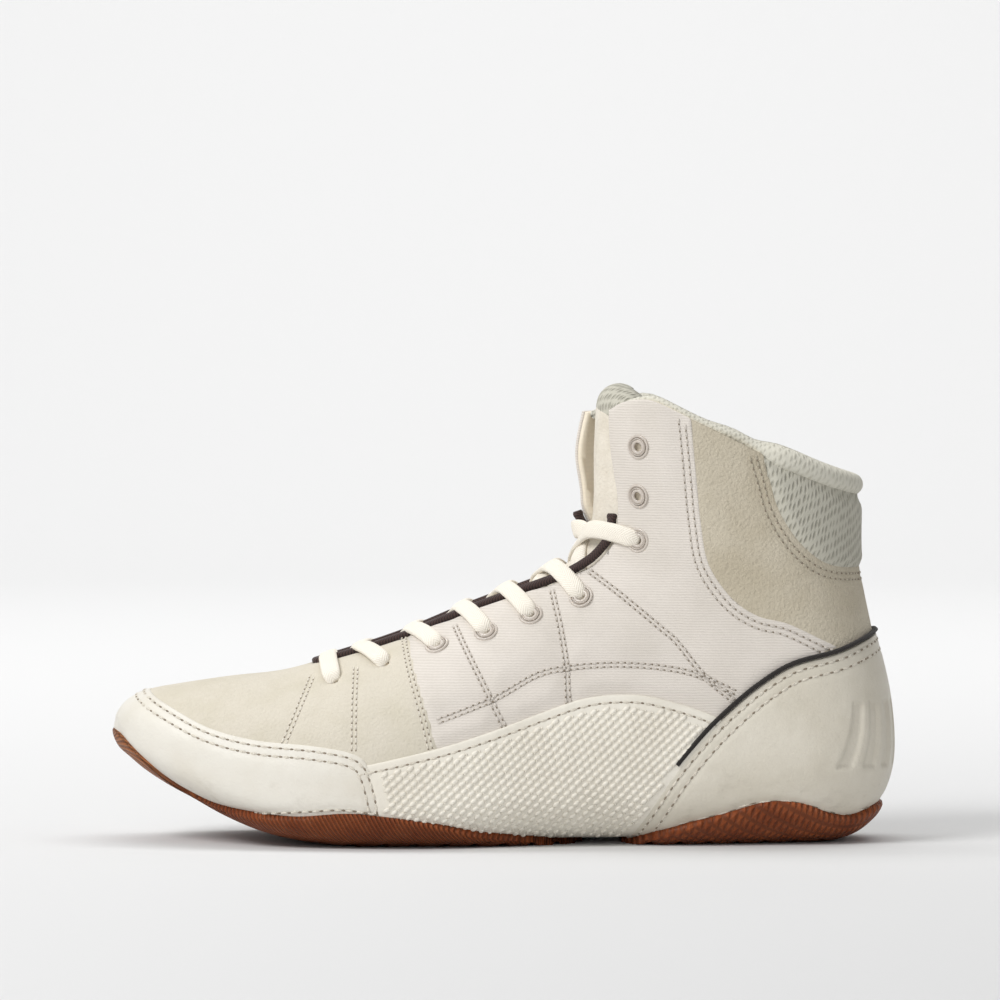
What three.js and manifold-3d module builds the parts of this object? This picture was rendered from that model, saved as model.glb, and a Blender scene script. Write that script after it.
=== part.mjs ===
// Wrestling shoe for the left foot, about US men's 9, standing empty on its sole.
// Millimetres, +Z up. The toe points along -X, the outer (lateral) side faces -Y.
import * as THREE from 'three';
import { mergeVertices } from 'three/addons/utils/BufferGeometryUtils.js';
import Module from 'manifold-3d';

const wasm = await Module();
wasm.setup();

// Sizes of the last, each measured on its own
const shoe_length = 285;
const ball_width = 96;
const heel_width = 70;
const instep_height = 110;
const shaft_height = 162;

// Walls and the pieces laid on them
const upper_wall = 2.3;
const overlay_thickness = 1.1;
const piping_width = 1.7;
const piping_height = 1.6;
const fit_gap = 0.3;
const lining_gap = 0.9;
const insole_thickness = 3;
const tongue_thickness = 3;
const tongue_tip_thickness = 5.5;
const tongue_width = 58;
const tongue_rise = 4;

// Sole
const sole_edge = 1.7;
const sole_thickness = 4.6;
const tread_depth = 1.4;
const tread_width = 3;
const tread_pitch = 11;
const tread_slant = 18;

// Collar
const cuff_proud = 1.5;
const cuff_depth = 7;
const cuff_roll_radius = 4;
const medial_flare = 13;

// Lacing
const binding_width = 2.4;
const binding_gap = 0.4;
const binding_proud = 0.9;
const eyelet_radius = 4.4;
const eyelet_bore = 1.5;
const eyelet_height = 0.8;
const eyelet_seat = 0.15;
const lace_width = 6.2;
const lace_thickness = 2.4;

// Sections of the last. The sole point and the top point of each are seen from the side:
// x as a share of shoe_length, z as a share of instep_height (foot) or shaft_height (shaft).
// half, middle and lean are shares of ball_width (foot) or heel_width (shaft).
// waist is how far up the section is widest, roof and floor are how square it is above and below.
const section_columns = [
  'sole_x', 'sole_z', 'top_x', 'top_z', 'half', 'middle', 'lean', 'waist', 'roof', 'floor',
];
const foot_sections = [
  [0.005, 0.375, 0.005, 0.375, 0.000, 0.073, 0.000, 0.50, 2.0, 2.0],
  [0.012, 0.330, 0.011, 0.420, 0.100, 0.069, 0.000, 0.45, 2.2, 2.2],
  [0.027, 0.297, 0.024, 0.455, 0.185, 0.062, 0.000, 0.42, 2.2, 2.5],
  [0.051, 0.250, 0.048, 0.488, 0.262, 0.054, 0.000, 0.40, 2.2, 2.8],
  [0.092, 0.188, 0.092, 0.510, 0.342, 0.041, 0.000, 0.37, 2.1, 3.2],
  [0.148, 0.122, 0.151, 0.533, 0.410, 0.025, 0.005, 0.34, 2.0, 3.6],
  [0.218, 0.068, 0.223, 0.556, 0.464, 0.010, 0.016, 0.32, 1.95, 4.0],
  [0.291, 0.040, 0.298, 0.615, 0.495, 0.000, 0.026, 0.30, 1.9, 4.0],
  [0.368, 0.036, 0.374, 0.685, 0.500, -0.010, 0.031, 0.29, 1.85, 4.0],
  [0.451, 0.030, 0.451, 0.778, 0.472, -0.021, 0.031, 0.28, 1.8, 3.6],
  [0.540, 0.022, 0.521, 0.862, 0.427, -0.023, 0.026, 0.27, 1.8, 3.0],
  [0.642, 0.022, 0.572, 0.935, 0.391, -0.019, 0.021, 0.28, 1.8, 3.0],
  [0.751, 0.030, 0.598, 1.000, 0.370, -0.010, 0.010, 0.29, 1.85, 3.4],
];
const shaft_sections = [
  [0.850, 0.026, 0.608, 0.717, 0.497, 0, 0, 0.31, 1.9, 3.2],
  [0.925, 0.034, 0.612, 0.750, 0.494, 0, 0, 0.34, 1.95, 2.9],
  [0.965, 0.074, 0.613, 0.782, 0.494, 0, 0, 0.37, 2.0, 2.8],
  [0.986, 0.133, 0.613, 0.811, 0.494, 0, 0, 0.40, 2.0, 2.7],
  [0.994, 0.213, 0.613, 0.843, 0.500, 0, 0, 0.42, 2.0, 2.6],
  [0.988, 0.337, 0.613, 0.876, 0.507, 0, 0, 0.44, 2.05, 2.5],
  [0.968, 0.488, 0.614, 0.914, 0.511, 0, 0, 0.47, 2.1, 2.4],
  [0.953, 0.629, 0.615, 0.955, 0.509, 0, 0, 0.49, 2.15, 2.3],
  [0.952, 0.742, 0.617, 0.993, 0.507, 0, 0, 0.50, 2.2, 2.2],
  [0.953, 0.831, 0.619, 1.034, 0.505, 0, 0, 0.50, 2.2, 2.2],
  [0.955, 0.921, 0.622, 1.074, 0.505, 0, 0, 0.50, 2.2, 2.2],
];

// Outlines seen from the side: along as a share of shoe_length, up as a share of shaft_height.
const gum_front_edge = [
  [-0.030, 0.262], [0.004, 0.244], [0.026, 0.209], [0.072, 0.136], [0.123, 0.086], [0.184, 0.064],
  [0.236, 0.064], [0.300, 0.078], [0.365, 0.066], [0.424, 0.043], [0.466, 0.021], [0.520, 0.006],
];
const gum_heel_edge = [
  [0.680, 0.006], [0.725, 0.034], [0.779, 0.062], [0.833, 0.085], [0.880, 0.083], [0.917, 0.060],
  [0.950, 0.057], [0.989, 0.086], [1.030, 0.120],
];
const guard_edge = [
  [0.020, 0.390], [0.045, 0.336], [0.085, 0.296], [0.132, 0.259], [0.190, 0.236], [0.260, 0.226],
  [0.310, 0.211], [0.330, 0.185], [0.343, 0.130], [0.350, 0.060],
];
const side_panel_edge = [
  [0.318, 0.183], [0.365, 0.201], [0.430, 0.229], [0.494, 0.265], [0.550, 0.301], [0.599, 0.329],
  [0.644, 0.339], [0.690, 0.333], [0.756, 0.299], [0.800, 0.260],
];
const counter_edge = [
  [0.640, -0.020], [0.655, 0.018], [0.681, 0.079], [0.715, 0.164], [0.756, 0.249], [0.793, 0.312],
  [0.828, 0.362], [0.868, 0.404], [0.925, 0.431], [0.980, 0.472], [1.030, 0.500],
];
const collar_edge = [
  [0.540, 0.962], [0.615, 0.962], [0.634, 0.968], [0.649, 0.984], [0.668, 0.993], [0.690, 0.990],
  [0.737, 0.951], [0.780, 0.915], [0.828, 0.872],
];
const cuff_edge = [
  [0.828, 0.872], [0.837, 0.820], [0.847, 0.757], [0.866, 0.697], [0.890, 0.652], [0.918, 0.627],
  [0.965, 0.620], [1.030, 0.620],
];
const cuff_roll_line = [
  [0.826, 0.843], [0.870, 0.826], [0.909, 0.806], [0.951, 0.789], [1.030, 0.755],
];
const piping_start = 0.165;
const tread_start = 0.25;
const side_panel_floor = 0.022;
const binding_end = 0.725;

// Throat: station counts the sections from the toe, half_gap is a share of ball_width.
const throat_columns = ['station', 'half_gap'];
const throat_widths = [
  [6.45, 0.030], [6.6, 0.065], [6.9, 0.092], [7.5, 0.108], [8.5, 0.122], [10, 0.140],
  [12, 0.165], [14, 0.186], [16, 0.190], [20, 0.190], [23, 0.190],
];

// Eyelets seen from the side, from the toe up. The first two are plain holes.
const eyelet_places = [
  [0.284, 0.364], [0.349, 0.402], [0.416, 0.441], [0.478, 0.472], [0.535, 0.510],
  [0.599, 0.550], [0.672, 0.679], [0.672, 0.780], [0.672, 0.889],
];
const first_ring = 2;
const laced_pairs = 7;

// How finely the curved forms are cut into faces
const angle_steps = 20;

const named = (columns, rows) => rows.map((row) => Object.fromEntries(
  columns.map((column, place) => [column, row[place]]),
));

const scaled_sections = (rows, height, width) => named(section_columns, rows).map((row) => ({
  ...row,
  sole_x: row.sole_x * shoe_length,
  sole_z: row.sole_z * height,
  top_x: row.top_x * shoe_length,
  top_z: row.top_z * height,
  half: row.half * width,
  middle: row.middle * width,
  lean: row.lean * width,
}));

const sections = [
  ...scaled_sections(foot_sections, instep_height, ball_width),
  ...scaled_sections(shaft_sections, shaft_height, heel_width),
];
const last_station = sections.length - 1;

// The section one before the toe mirrors the first, so the toe closes in a round nose.
const before_toe = {
  ...sections[1],
  sole_x: sections[1].top_x,
  sole_z: sections[1].top_z,
  top_x: sections[1].sole_x,
  top_z: sections[1].sole_z,
  half: -sections[1].half,
};
const past_collar = Object.fromEntries(section_columns.map((column) => [
  column,
  2 * sections[last_station][column] - sections[last_station - 1][column],
]));

const flow = (a, b, c, d, share) => 0.5 * (
  2 * b
  + (c - a) * share
  + (2 * a - 5 * b + 4 * c - d) * share ** 2
  + (3 * b - a - 3 * c + d) * share ** 3
);

const section_at = (station) => {
  const index = Math.min(Math.max(Math.floor(station), 0), last_station - 1);
  const share = station - index;
  const before = index > 0 ? sections[index - 1] : before_toe;
  const after = index + 2 <= last_station ? sections[index + 2] : past_collar;
  return Object.fromEntries(section_columns.map((column) => [
    column,
    flow(before[column], sections[index][column], sections[index + 1][column], after[column], share),
  ]));
};

const smooth = (value, from, to) => THREE.MathUtils.smoothstep(value, from, to);

// The inner (medial) flap of the shaft is pulled forward and stands open above the laces.
const flare_at = (angle, z) => {
  const height = z / shaft_height;
  const rise = smooth(height, 0.60, 0.76) * (1 - 0.35 * smooth(height, 0.84, 1.0));
  const reach = smooth(angle, 0.15, 0.45) * (1 - smooth(angle, 0.7, 1.5));
  return medial_flare * rise * reach;
};

// One point of the last's skin. Angle 0 is the top line, 180 degrees the sole line,
// and the outer side is negative.
const skin = (station, angle, flared = true) => {
  const section = section_at(station);
  const across = Math.sin(angle);
  const upright = Math.cos(angle);
  const power = 2 / (upright >= 0 ? section.roof : section.floor);
  const rise = upright >= 0
    ? section.waist + (1 - section.waist) * upright ** power
    : section.waist * (1 - (-upright) ** power);
  const point = new THREE.Vector3(
    section.sole_x + (section.top_x - section.sole_x) * rise,
    section.middle + section.lean * rise + Math.sign(across) * section.half * Math.abs(across) ** power,
    section.sole_z + (section.top_z - section.sole_z) * rise,
  );
  if (flared) {
    point.x -= flare_at(angle, point.z);
  }
  return point;
};

const normal_at = (station, angle, flared = true) => {
  const step = 0.02;
  if (station < step) {
    const nose = sections[1];
    return new THREE.Vector3(nose.sole_z - nose.top_z, 0, nose.top_x - nose.sole_x).normalize();
  }
  const later = Math.min(station + step, last_station);
  const along = skin(later, angle, flared).sub(skin(station - step, angle, flared));
  const round = skin(station, angle + step, flared).sub(skin(station, angle - step, flared));
  return along.cross(round).normalize();
};

// A point above (or, where height is negative, inside) the skin
const above_skin = (station, angle, height, flared = true) => {
  const normal = normal_at(station, angle, flared);
  return skin(station, angle, flared).addScaledVector(normal, height);
};

// Angle at which the skin of the upper half is so far to the side of its top line
const angle_of_reach = (station, reach) => {
  const section = section_at(station);
  return Math.asin(Math.min(Math.abs(reach) / section.half, 1) ** (section.roof / 2)) * Math.sign(reach);
};

const angle_of_sole_reach = (station, reach) => {
  const section = section_at(station);
  return Math.asin(Math.min(reach / section.half, 1) ** (section.floor / 2));
};

// Station and angle of the outer side's point that is seen at (x, z) from the side
const place_on_side = (x, z) => {
  const miss = (station) => {
    const section = section_at(station);
    return (x - section.sole_x) * (section.top_z - section.sole_z)
      - (z - section.sole_z) * (section.top_x - section.sole_x);
  };
  let low = 1;
  let high = last_station;
  for (let turn = 0; turn < 50; turn += 1) {
    const middle = (low + high) / 2;
    if (miss(middle) * miss(low) > 0) {
      low = middle;
    } else {
      high = middle;
    }
  }
  const section = section_at(low);
  const run = new THREE.Vector2(section.top_x - section.sole_x, section.top_z - section.sole_z);
  const share = new THREE.Vector2(x - section.sole_x, z - section.sole_z).dot(run) / run.lengthSq();
  const angle = share >= section.waist
    ? Math.acos(((share - section.waist) / (1 - section.waist)) ** (section.roof / 2))
    : Math.PI - Math.acos((1 - share / section.waist) ** (section.floor / 2));
  return { station: low, angle };
};

// Solids
const signed_volume = (points, faces) => {
  let volume = 0;
  for (let face = 0; face < faces.length; face += 3) {
    const [a, b, c] = [points[faces[face]], points[faces[face + 1]], points[faces[face + 2]]];
    volume += a.dot(b.clone().cross(c));
  }
  return volume;
};

const solid_of_faces = (points, faces) => {
  const outward = signed_volume(points, faces) > 0;
  const ordered = outward ? faces : faces.slice().reverse();
  return new wasm.Manifold(new wasm.Mesh({
    numProp: 3,
    vertProperties: new Float32Array(points.flatMap((point) => point.toArray())),
    triVerts: new Uint32Array(ordered),
  }));
};

const solid_of_geometry = (geometry) => {
  const plain = geometry.clone();
  plain.deleteAttribute('normal');
  plain.deleteAttribute('uv');
  const merged = mergeVertices(plain, 1e-4);
  const position = merged.getAttribute('position');
  const points = Array.from({ length: position.count }, (_, place) => (
    new THREE.Vector3().fromBufferAttribute(position, place)
  ));
  return solid_of_faces(points, Array.from(merged.getIndex().array));
};

const grown_height = (offset, station, angle, normal) => (
  typeof offset === 'function' ? offset(station, angle, normal) : offset
);

const stations_between = (from, to, count) => (
  Array.from({ length: count + 1 }, (_, step) => THREE.MathUtils.lerp(from, to, step / count))
);

// Stations close together along the foot, and one to a section at the toe, heel and shaft
const form_stations = [
  ...stations_between(1, 4, 3),
  ...stations_between(5, 13, 12),
  ...stations_between(14, last_station, last_station - 14),
];
const stations_within = (from, to) => [
  from,
  ...form_stations.filter((station) => station > from + 0.1 && station < to - 0.1),
  to,
];

// The whole last, grown or shrunk along its own normals
const last_form = (offset, flared = true) => {
  const stations = form_stations;
  const tip_normal = normal_at(0, 0);
  const points = [skin(0, 0).addScaledVector(tip_normal, grown_height(offset, 0, 0, tip_normal))];
  stations.forEach((station) => {
    for (let step = 0; step < angle_steps; step += 1) {
      const angle = 2 * Math.PI * (step / angle_steps) - Math.PI;
      const normal = normal_at(station, angle, flared);
      const height = grown_height(offset, station, angle, normal);
      points.push(skin(station, angle, flared).addScaledVector(normal, height));
    }
  });
  const faces = [];
  const place = (ring, step) => 1 + ring * angle_steps + (step % angle_steps);
  for (let step = 0; step < angle_steps; step += 1) {
    faces.push(0, place(0, step), place(0, step + 1));
  }
  for (let ring = 0; ring + 1 < stations.length; ring += 1) {
    for (let step = 0; step < angle_steps; step += 1) {
      faces.push(place(ring, step), place(ring + 1, step), place(ring + 1, step + 1));
      faces.push(place(ring, step), place(ring + 1, step + 1), place(ring, step + 1));
    }
  }
  const top = points.length;
  const end = section_at(last_station);
  points.push(new THREE.Vector3(
    (end.sole_x + end.top_x) / 2,
    end.middle,
    (end.sole_z + end.top_z) / 2,
  ));
  for (let step = 0; step < angle_steps; step += 1) {
    faces.push(top, place(stations.length - 1, step + 1), place(stations.length - 1, step));
  }
  return solid_of_faces(points, faces);
};

// A patch of the skin between two heights. It runs along the stations and, at each of them,
// from one angle to the other.
const skin_patch = ({ stations, from, to, top, bottom, steps = 6, flared = true }) => {
  const points = [];
  [top, bottom].forEach((offset) => {
    stations.forEach((station) => {
      for (let step = 0; step <= steps; step += 1) {
        const angle = THREE.MathUtils.lerp(from(station), to(station), step / steps);
        const height = grown_height(offset, station, angle);
        points.push(above_skin(station, angle, height, flared));
      }
    });
  });
  const row = steps + 1;
  const layer = stations.length * row;
  const faces = [];
  const quad = (a, b, c, d) => faces.push(a, b, c, a, c, d);
  for (let ring = 0; ring + 1 < stations.length; ring += 1) {
    for (let step = 0; step < steps; step += 1) {
      const corner = ring * row + step;
      quad(corner, corner + row, corner + row + 1, corner + 1);
      quad(layer + corner, layer + corner + 1, layer + corner + row + 1, layer + corner + row);
    }
    const near = ring * row;
    quad(near, layer + near, layer + near + row, near + row);
    const far = ring * row + steps;
    quad(far, far + row, layer + far + row, layer + far);
  }
  const end = layer - row;
  for (let step = 0; step < steps; step += 1) {
    quad(step, step + 1, layer + step + 1, layer + step);
    quad(end + step, layer + end + step, layer + end + step + 1, end + step + 1);
  }
  return solid_of_faces(points, faces);
};

// Outlines in the side view
const side_point = ([along, up]) => new THREE.Vector2(along * shoe_length, up * shaft_height);
const side_curve = (rows, count = 2) => (
  new THREE.SplineCurve(rows.map(side_point)).getPoints((rows.length - 1) * count)
);

// The line moved to the left of its own direction
const beside = (points, distance) => points.map((point, place) => {
  const before = points[Math.max(place - 1, 0)];
  const after = points[Math.min(place + 1, points.length - 1)];
  const along = after.clone().sub(before).normalize();
  return new THREE.Vector2(point.x - along.y * distance, point.y + along.x * distance);
});

// A cutter that runs right across the shoe, with the given outline in the side view
const across_shoe = (points) => {
  const reach = ball_width;
  const geometry = new THREE.ExtrudeGeometry(new THREE.Shape(points), {
    depth: 2 * reach,
    bevelEnabled: false,
    steps: 1,
  });
  geometry.rotateX(Math.PI / 2);
  geometry.translate(0, reach, 0);
  return solid_of_geometry(geometry);
};

const box_between = (low, high) => {
  const geometry = new THREE.BoxGeometry(high.x - low.x, high.y - low.y, high.z - low.z);
  geometry.translate((low.x + high.x) / 2, (low.y + high.y) / 2, (low.z + high.z) / 2);
  return solid_of_geometry(geometry);
};

// Corners well outside the shoe, for closing outlines
const far_left = -0.2 * shoe_length;
const far_right = 1.2 * shoe_length;
const far_below = -0.3 * shaft_height;
const far_above = 1.4 * shaft_height;
const corner = (x, z) => new THREE.Vector2(x, z);

const gum_front = side_curve(gum_front_edge);
const gum_heel = side_curve(gum_heel_edge);
const guard_line = side_curve(guard_edge);
const panel_line = side_curve(side_panel_edge);
const counter_line = side_curve(counter_edge);

// Below the two gum edges, grown upward by a clearance
const gum_front_region = (clearance) => across_shoe([
  ...beside(gum_front, clearance),
  corner(gum_front.at(-1).x + clearance, far_below),
  corner(far_left, far_below),
  corner(far_left, gum_front[0].y + clearance),
]);
const gum_heel_region = (clearance) => across_shoe([
  corner(gum_heel[0].x - clearance, far_below),
  ...beside(gum_heel, clearance),
  corner(far_right, gum_heel.at(-1).y + clearance),
  corner(far_right, far_below),
]);
const guard_region = (clearance) => across_shoe([
  ...beside(guard_line, clearance),
  corner(guard_line.at(-1).x + clearance, far_below),
  corner(far_left, far_below),
  corner(far_left, guard_line[0].y + clearance),
]);
const counter_region = (clearance) => across_shoe([
  ...beside(counter_line, clearance),
  corner(far_right, counter_line.at(-1).y + clearance),
  corner(far_right, far_below),
  corner(counter_line[0].x - clearance, far_below),
]);

const bare_last = last_form(0);
const seat_form = last_form(fit_gap);
const overlay_form = last_form(fit_gap + overlay_thickness);
const overlay_shell = overlay_form.subtract(seat_form);
const above_gum = overlay_shell
  .subtract(gum_front_region(fit_gap))
  .subtract(gum_heel_region(fit_gap));

// Toe guard: smooth leather cap wrapped round the toe
const toe_guard = () => above_gum.intersect(guard_region(0));

// Heel counter: smooth leather round the heel
const heel_counter = () => above_gum.intersect(counter_region(0));

// Piping: raised cord let in along the front and top edge of the counter
const piping_region = (clearance) => {
  const inner = fit_gap - clearance;
  const outer = fit_gap + piping_width + clearance;
  const start = counter_line.filter((point) => point.y >= piping_start * shaft_height - clearance);
  return across_shoe([...beside(start, outer), ...beside(start, inner).reverse()]);
};
const counter_piping = () => last_form(fit_gap + piping_height)
  .subtract(seat_form)
  .intersect(piping_region(0));

// Side panels: embossed sheet between toe guard and counter, one on each side
const side_panel = (side) => {
  const below = across_shoe([
    ...panel_line,
    corner(far_right, panel_line.at(-1).y),
    corner(far_right, side_panel_floor * shaft_height),
    corner(panel_line[0].x, side_panel_floor * shaft_height),
  ]);
  const half = box_between(
    new THREE.Vector3(far_left, side < 0 ? -ball_width : 0, far_below),
    new THREE.Vector3(far_right, side < 0 ? 0 : ball_width, far_above),
  );
  return above_gum
    .intersect(below)
    .intersect(half)
    .subtract(guard_region(fit_gap))
    .subtract(counter_region(fit_gap))
    .subtract(piping_region(fit_gap));
};

// Outsole pods: gum rubber, thick underneath and thin where it turns up the sides,
// cut flat on the ground
const sole_form = last_form((station, angle, normal) => {
  const share = smooth(-normal.z, 0.1, 0.95);
  return THREE.MathUtils.lerp(sole_edge, sole_thickness, share) + fit_gap;
});
const ground = box_between(
  new THREE.Vector3(far_left, -ball_width, far_below),
  new THREE.Vector3(far_right, ball_width, 0),
);
const groove = (x) => {
  const geometry = new THREE.BoxGeometry(tread_width, 2 * ball_width, 2 * tread_depth);
  geometry.rotateZ(THREE.MathUtils.degToRad(tread_slant));
  geometry.translate(x, 0, 0);
  return solid_of_geometry(geometry);
};
const sole_pod = (region, first_groove, end) => {
  let pod = sole_form.subtract(ground).subtract(seat_form).intersect(region);
  for (let x = first_groove; x < end; x += tread_pitch) {
    pod = pod.subtract(groove(x));
  }
  return pod;
};

const outsole_forefoot = () => sole_pod(
  gum_front_region(0),
  tread_start * shoe_length,
  gum_front.at(-1).x,
);
const outsole_heel = () => sole_pod(
  gum_heel_region(0),
  gum_heel[0].x + tread_pitch,
  shoe_length * 0.93,
);

// Throat: the opening over the instep, widening up to the collar
const throat_rows = named(throat_columns, throat_widths);
const half_gap_at = (station) => {
  const after = throat_rows.findIndex((row) => row.station >= station);
  if (after <= 0) {
    return throat_rows.at(after).half_gap * ball_width;
  }
  const [low, high] = [throat_rows[after - 1], throat_rows[after]];
  const share = (station - low.station) / (high.station - low.station);
  return THREE.MathUtils.lerp(low.half_gap, high.half_gap, share) * ball_width;
};
const throat_start = throat_rows[0].station;
const throat_stations = [
  ...throat_rows.slice(0, 3).map((row) => row.station),
  ...stations_within(throat_rows[3].station, last_station),
];
const throat_patch = (inset, top, bottom) => skin_patch({
  stations: throat_stations.map((station) => (
    station === throat_start ? throat_start + inset / 20 : station
  )),
  from: (station) => angle_of_reach(station, inset - half_gap_at(station)),
  to: (station) => angle_of_reach(station, half_gap_at(station) - inset),
  top,
  bottom,
  flared: false,
});

// Station at which the top line reaches a height
const station_at_height = (z) => {
  let low = throat_start;
  let high = last_station;
  for (let turn = 0; turn < 40; turn += 1) {
    const middle = (low + high) / 2;
    if (section_at(middle).top_z < z) {
      low = middle;
    } else {
      high = middle;
    }
  }
  return low;
};

// Openings underneath, where the sole pods close the upper
const sole_opening = (from, to, reach) => skin_patch({
  stations: stations_within(from, to),
  from: (station) => Math.PI - angle_of_sole_reach(station, reach(station)),
  to: (station) => Math.PI + angle_of_sole_reach(station, reach(station)),
  top: fit_gap,
  bottom: -2 * upper_wall,
  steps: 4,
});
const oval_reach = (from, to, widest) => (station) => {
  const share = (2 * station - from - to) / (to - from);
  return widest * Math.sqrt(Math.max(1 - 0.9 * share ** 2, 0));
};

const eyelet_spots = eyelet_places.map((place) => {
  const point = side_point(place);
  return place_on_side(point.x, point.y);
});

// A round cutter or ring blank that stands on the skin at an eyelet
const at_eyelet = (geometry, spot, side) => {
  const angle = side * spot.angle;
  const normal = normal_at(spot.station, angle);
  const turn = new THREE.Quaternion().setFromUnitVectors(new THREE.Vector3(0, 1, 0), normal);
  geometry.applyQuaternion(turn);
  const centre = skin(spot.station, angle);
  geometry.translate(centre.x, centre.y, centre.z);
  return solid_of_geometry(geometry);
};

const cuff_line = side_curve(cuff_edge);
const roll_line = side_curve(cuff_roll_line);
const collar_line = side_curve(collar_edge);

// Behind and above the cuff's lower edge
const cuff_region = (clearance) => across_shoe([
  corner(cuff_line[0].x - clearance, far_above),
  ...beside(cuff_line, -clearance),
  corner(far_right, cuff_line.at(-1).y - clearance),
  corner(far_right, far_above),
]);
const above_roll_line = () => across_shoe([
  corner(far_left, far_above),
  corner(far_left, roll_line[0].y),
  ...roll_line,
  corner(far_right, roll_line.at(-1).y),
  corner(far_right, far_above),
]);
const above_collar = () => across_shoe([
  corner(collar_line[0].x, far_above),
  ...collar_line,
  corner(collar_line.at(-1).x + upper_wall, collar_line.at(-1).y),
  corner(collar_line.at(-1).x + upper_wall, far_above),
]);

const upper = () => {
  let shell = bare_last
    .subtract(last_form(-upper_wall))
    .subtract(above_collar())
    .subtract(cuff_region(fit_gap))
    .subtract(throat_patch(0, 2 * upper_wall, -3 * upper_wall))
    .subtract(sole_opening(3, 8.6, oval_reach(3, 8.6, 0.3 * ball_width)))
    .subtract(sole_opening(12.2, 14.4, oval_reach(12.2, 14.4, 0.26 * heel_width)));
  eyelet_spots.forEach((spot) => {
    [-1, 1].forEach((side) => {
      const cutter = new THREE.CylinderGeometry(eyelet_bore, eyelet_bore, 4 * upper_wall, 6);
      shell = shell.subtract(at_eyelet(cutter, spot, side));
    });
  });
  return shell;
};

const eyelet_ring = (spot, side) => {
  const ring = (radius, sides) => {
    const geometry = new THREE.CylinderGeometry(radius, radius, eyelet_height, sides);
    geometry.translate(0, eyelet_seat + eyelet_height / 2, 0);
    return geometry;
  };
  return at_eyelet(ring(eyelet_radius, 10), spot, side)
    .subtract(at_eyelet(ring(eyelet_bore, 6).scale(1, 2, 1), spot, side));
};

// Binding: folded tape along the throat's edge, up to just above the laces
const throat_binding = () => {
  const end = binding_end * shaft_height;
  const above = box_between(
    new THREE.Vector3(far_left, -ball_width, end),
    new THREE.Vector3(far_right, ball_width, far_above),
  );
  return throat_patch(binding_gap, binding_proud, -upper_wall)
    .subtract(throat_patch(binding_gap + binding_width, 3 * upper_wall, -3 * upper_wall))
    .subtract(above);
};

// Tongue: padded sheet under the flaps, thicker towards its rolled top
const tongue = () => {
  const under = -upper_wall - lining_gap;
  const start = throat_start - 0.6;
  const puff = (station, angle) => {
    const room = angle_of_reach(station, half_gap_at(station) - binding_width - 2 * fit_gap);
    const middle = 1 - smooth(Math.abs(angle), 0.35 * room, 0.95 * room);
    return (upper_wall + fit_gap) * middle * smooth(section_at(station).top_z / shaft_height, 0.74, 0.84);
  };
  const thickness = (station) => THREE.MathUtils.lerp(
    tongue_thickness,
    tongue_tip_thickness,
    smooth(station, 14, 20),
  );
  const reach = (station) => angle_of_reach(station, tongue_width / 2);
  const sheet = skin_patch({
    stations: stations_within(start, last_station),
    from: (station) => -reach(station),
    to: reach,
    top: (station, angle) => under + puff(station, angle),
    bottom: (station, angle) => under + puff(station, angle) - thickness(station),
    steps: 8,
    flared: false,
  });
  const top = shaft_height + tongue_rise;
  const lip = across_shoe([
    corner(far_left, top - 9),
    corner(section_at(20).top_x + 0.5, top - 9),
    corner(section_at(20).top_x + 1.5, top - 5),
    corner(section_at(20).top_x + 5, top - 1.5),
    corner(section_at(20).top_x + 10, top),
    corner(section_at(20).top_x + 16, top),
    corner(section_at(20).top_x + 22, top - 3),
    corner(far_right, top - 3),
    corner(far_right, far_above),
    corner(far_left, far_above),
  ]);
  return sheet.subtract(lip);
};

// Insole: flat footbed that lies on the inside of the upper's floor
const insole = () => {
  const [start, end] = [2, 14];
  const seat = -upper_wall - lining_gap;
  return skin_patch({
    stations: stations_within(start, end),
    from: (station) => Math.PI - angle_of_sole_reach(station, footbed_reach(station, start, end)),
    to: (station) => Math.PI + angle_of_sole_reach(station, footbed_reach(station, start, end)),
    top: seat,
    bottom: seat - insole_thickness,
    steps: 6,
  });
};
const footbed_reach = (station, start, end) => {
  const share = (2 * station - start - end) / (end - start);
  return 0.8 * section_at(station).half * (1 - 0.4 * share ** 8);
};

// Collar cuff: knit over foam, a pad that closes the back of the shaft with a roll along its top
const roll_point = (angle) => {
  let low = 14;
  let high = last_station;
  for (let turn = 0; turn < 40; turn += 1) {
    const middle = (low + high) / 2;
    const point = skin(middle, angle);
    if (point.z < height_on(roll_line, point.x)) {
      low = middle;
    } else {
      high = middle;
    }
  }
  return above_skin(low, angle, cuff_proud - cuff_depth / 2);
};
const height_on = (line, x) => {
  const after = Math.max(line.findIndex((point) => point.x >= x), 1);
  const [low, high] = [line[after - 1], line[after]];
  return THREE.MathUtils.lerp(low.y, high.y, (x - low.x) / (high.x - low.x));
};
const angle_where_cuff_starts = () => {
  const start = cuff_line[0].x + cuff_roll_radius + fit_gap;
  let low = 0.3 * Math.PI;
  let high = Math.PI;
  for (let turn = 0; turn < 40; turn += 1) {
    const middle = (low + high) / 2;
    if (roll_point(middle).x < start) {
      low = middle;
    } else {
      high = middle;
    }
  }
  return low;
};
const collar_cuff = () => {
  const start = angle_where_cuff_starts();
  const pad = last_form(cuff_proud)
    .subtract(last_form(cuff_proud - cuff_depth))
    .intersect(cuff_region(0))
    .subtract(above_roll_line());
  const path = new THREE.CatmullRomCurve3(
    stations_between(start, 2 * Math.PI - start, 16).map(roll_point),
  );
  const round = new THREE.Shape();
  round.absarc(0, 0, cuff_roll_radius, 0, 2 * Math.PI, false);
  const roll = new THREE.ExtrudeGeometry(round, {
    steps: 18,
    extrudePath: path,
    bevelEnabled: false,
    curveSegments: 8,
  });
  return pad.add(solid_of_geometry(roll));
};

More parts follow.
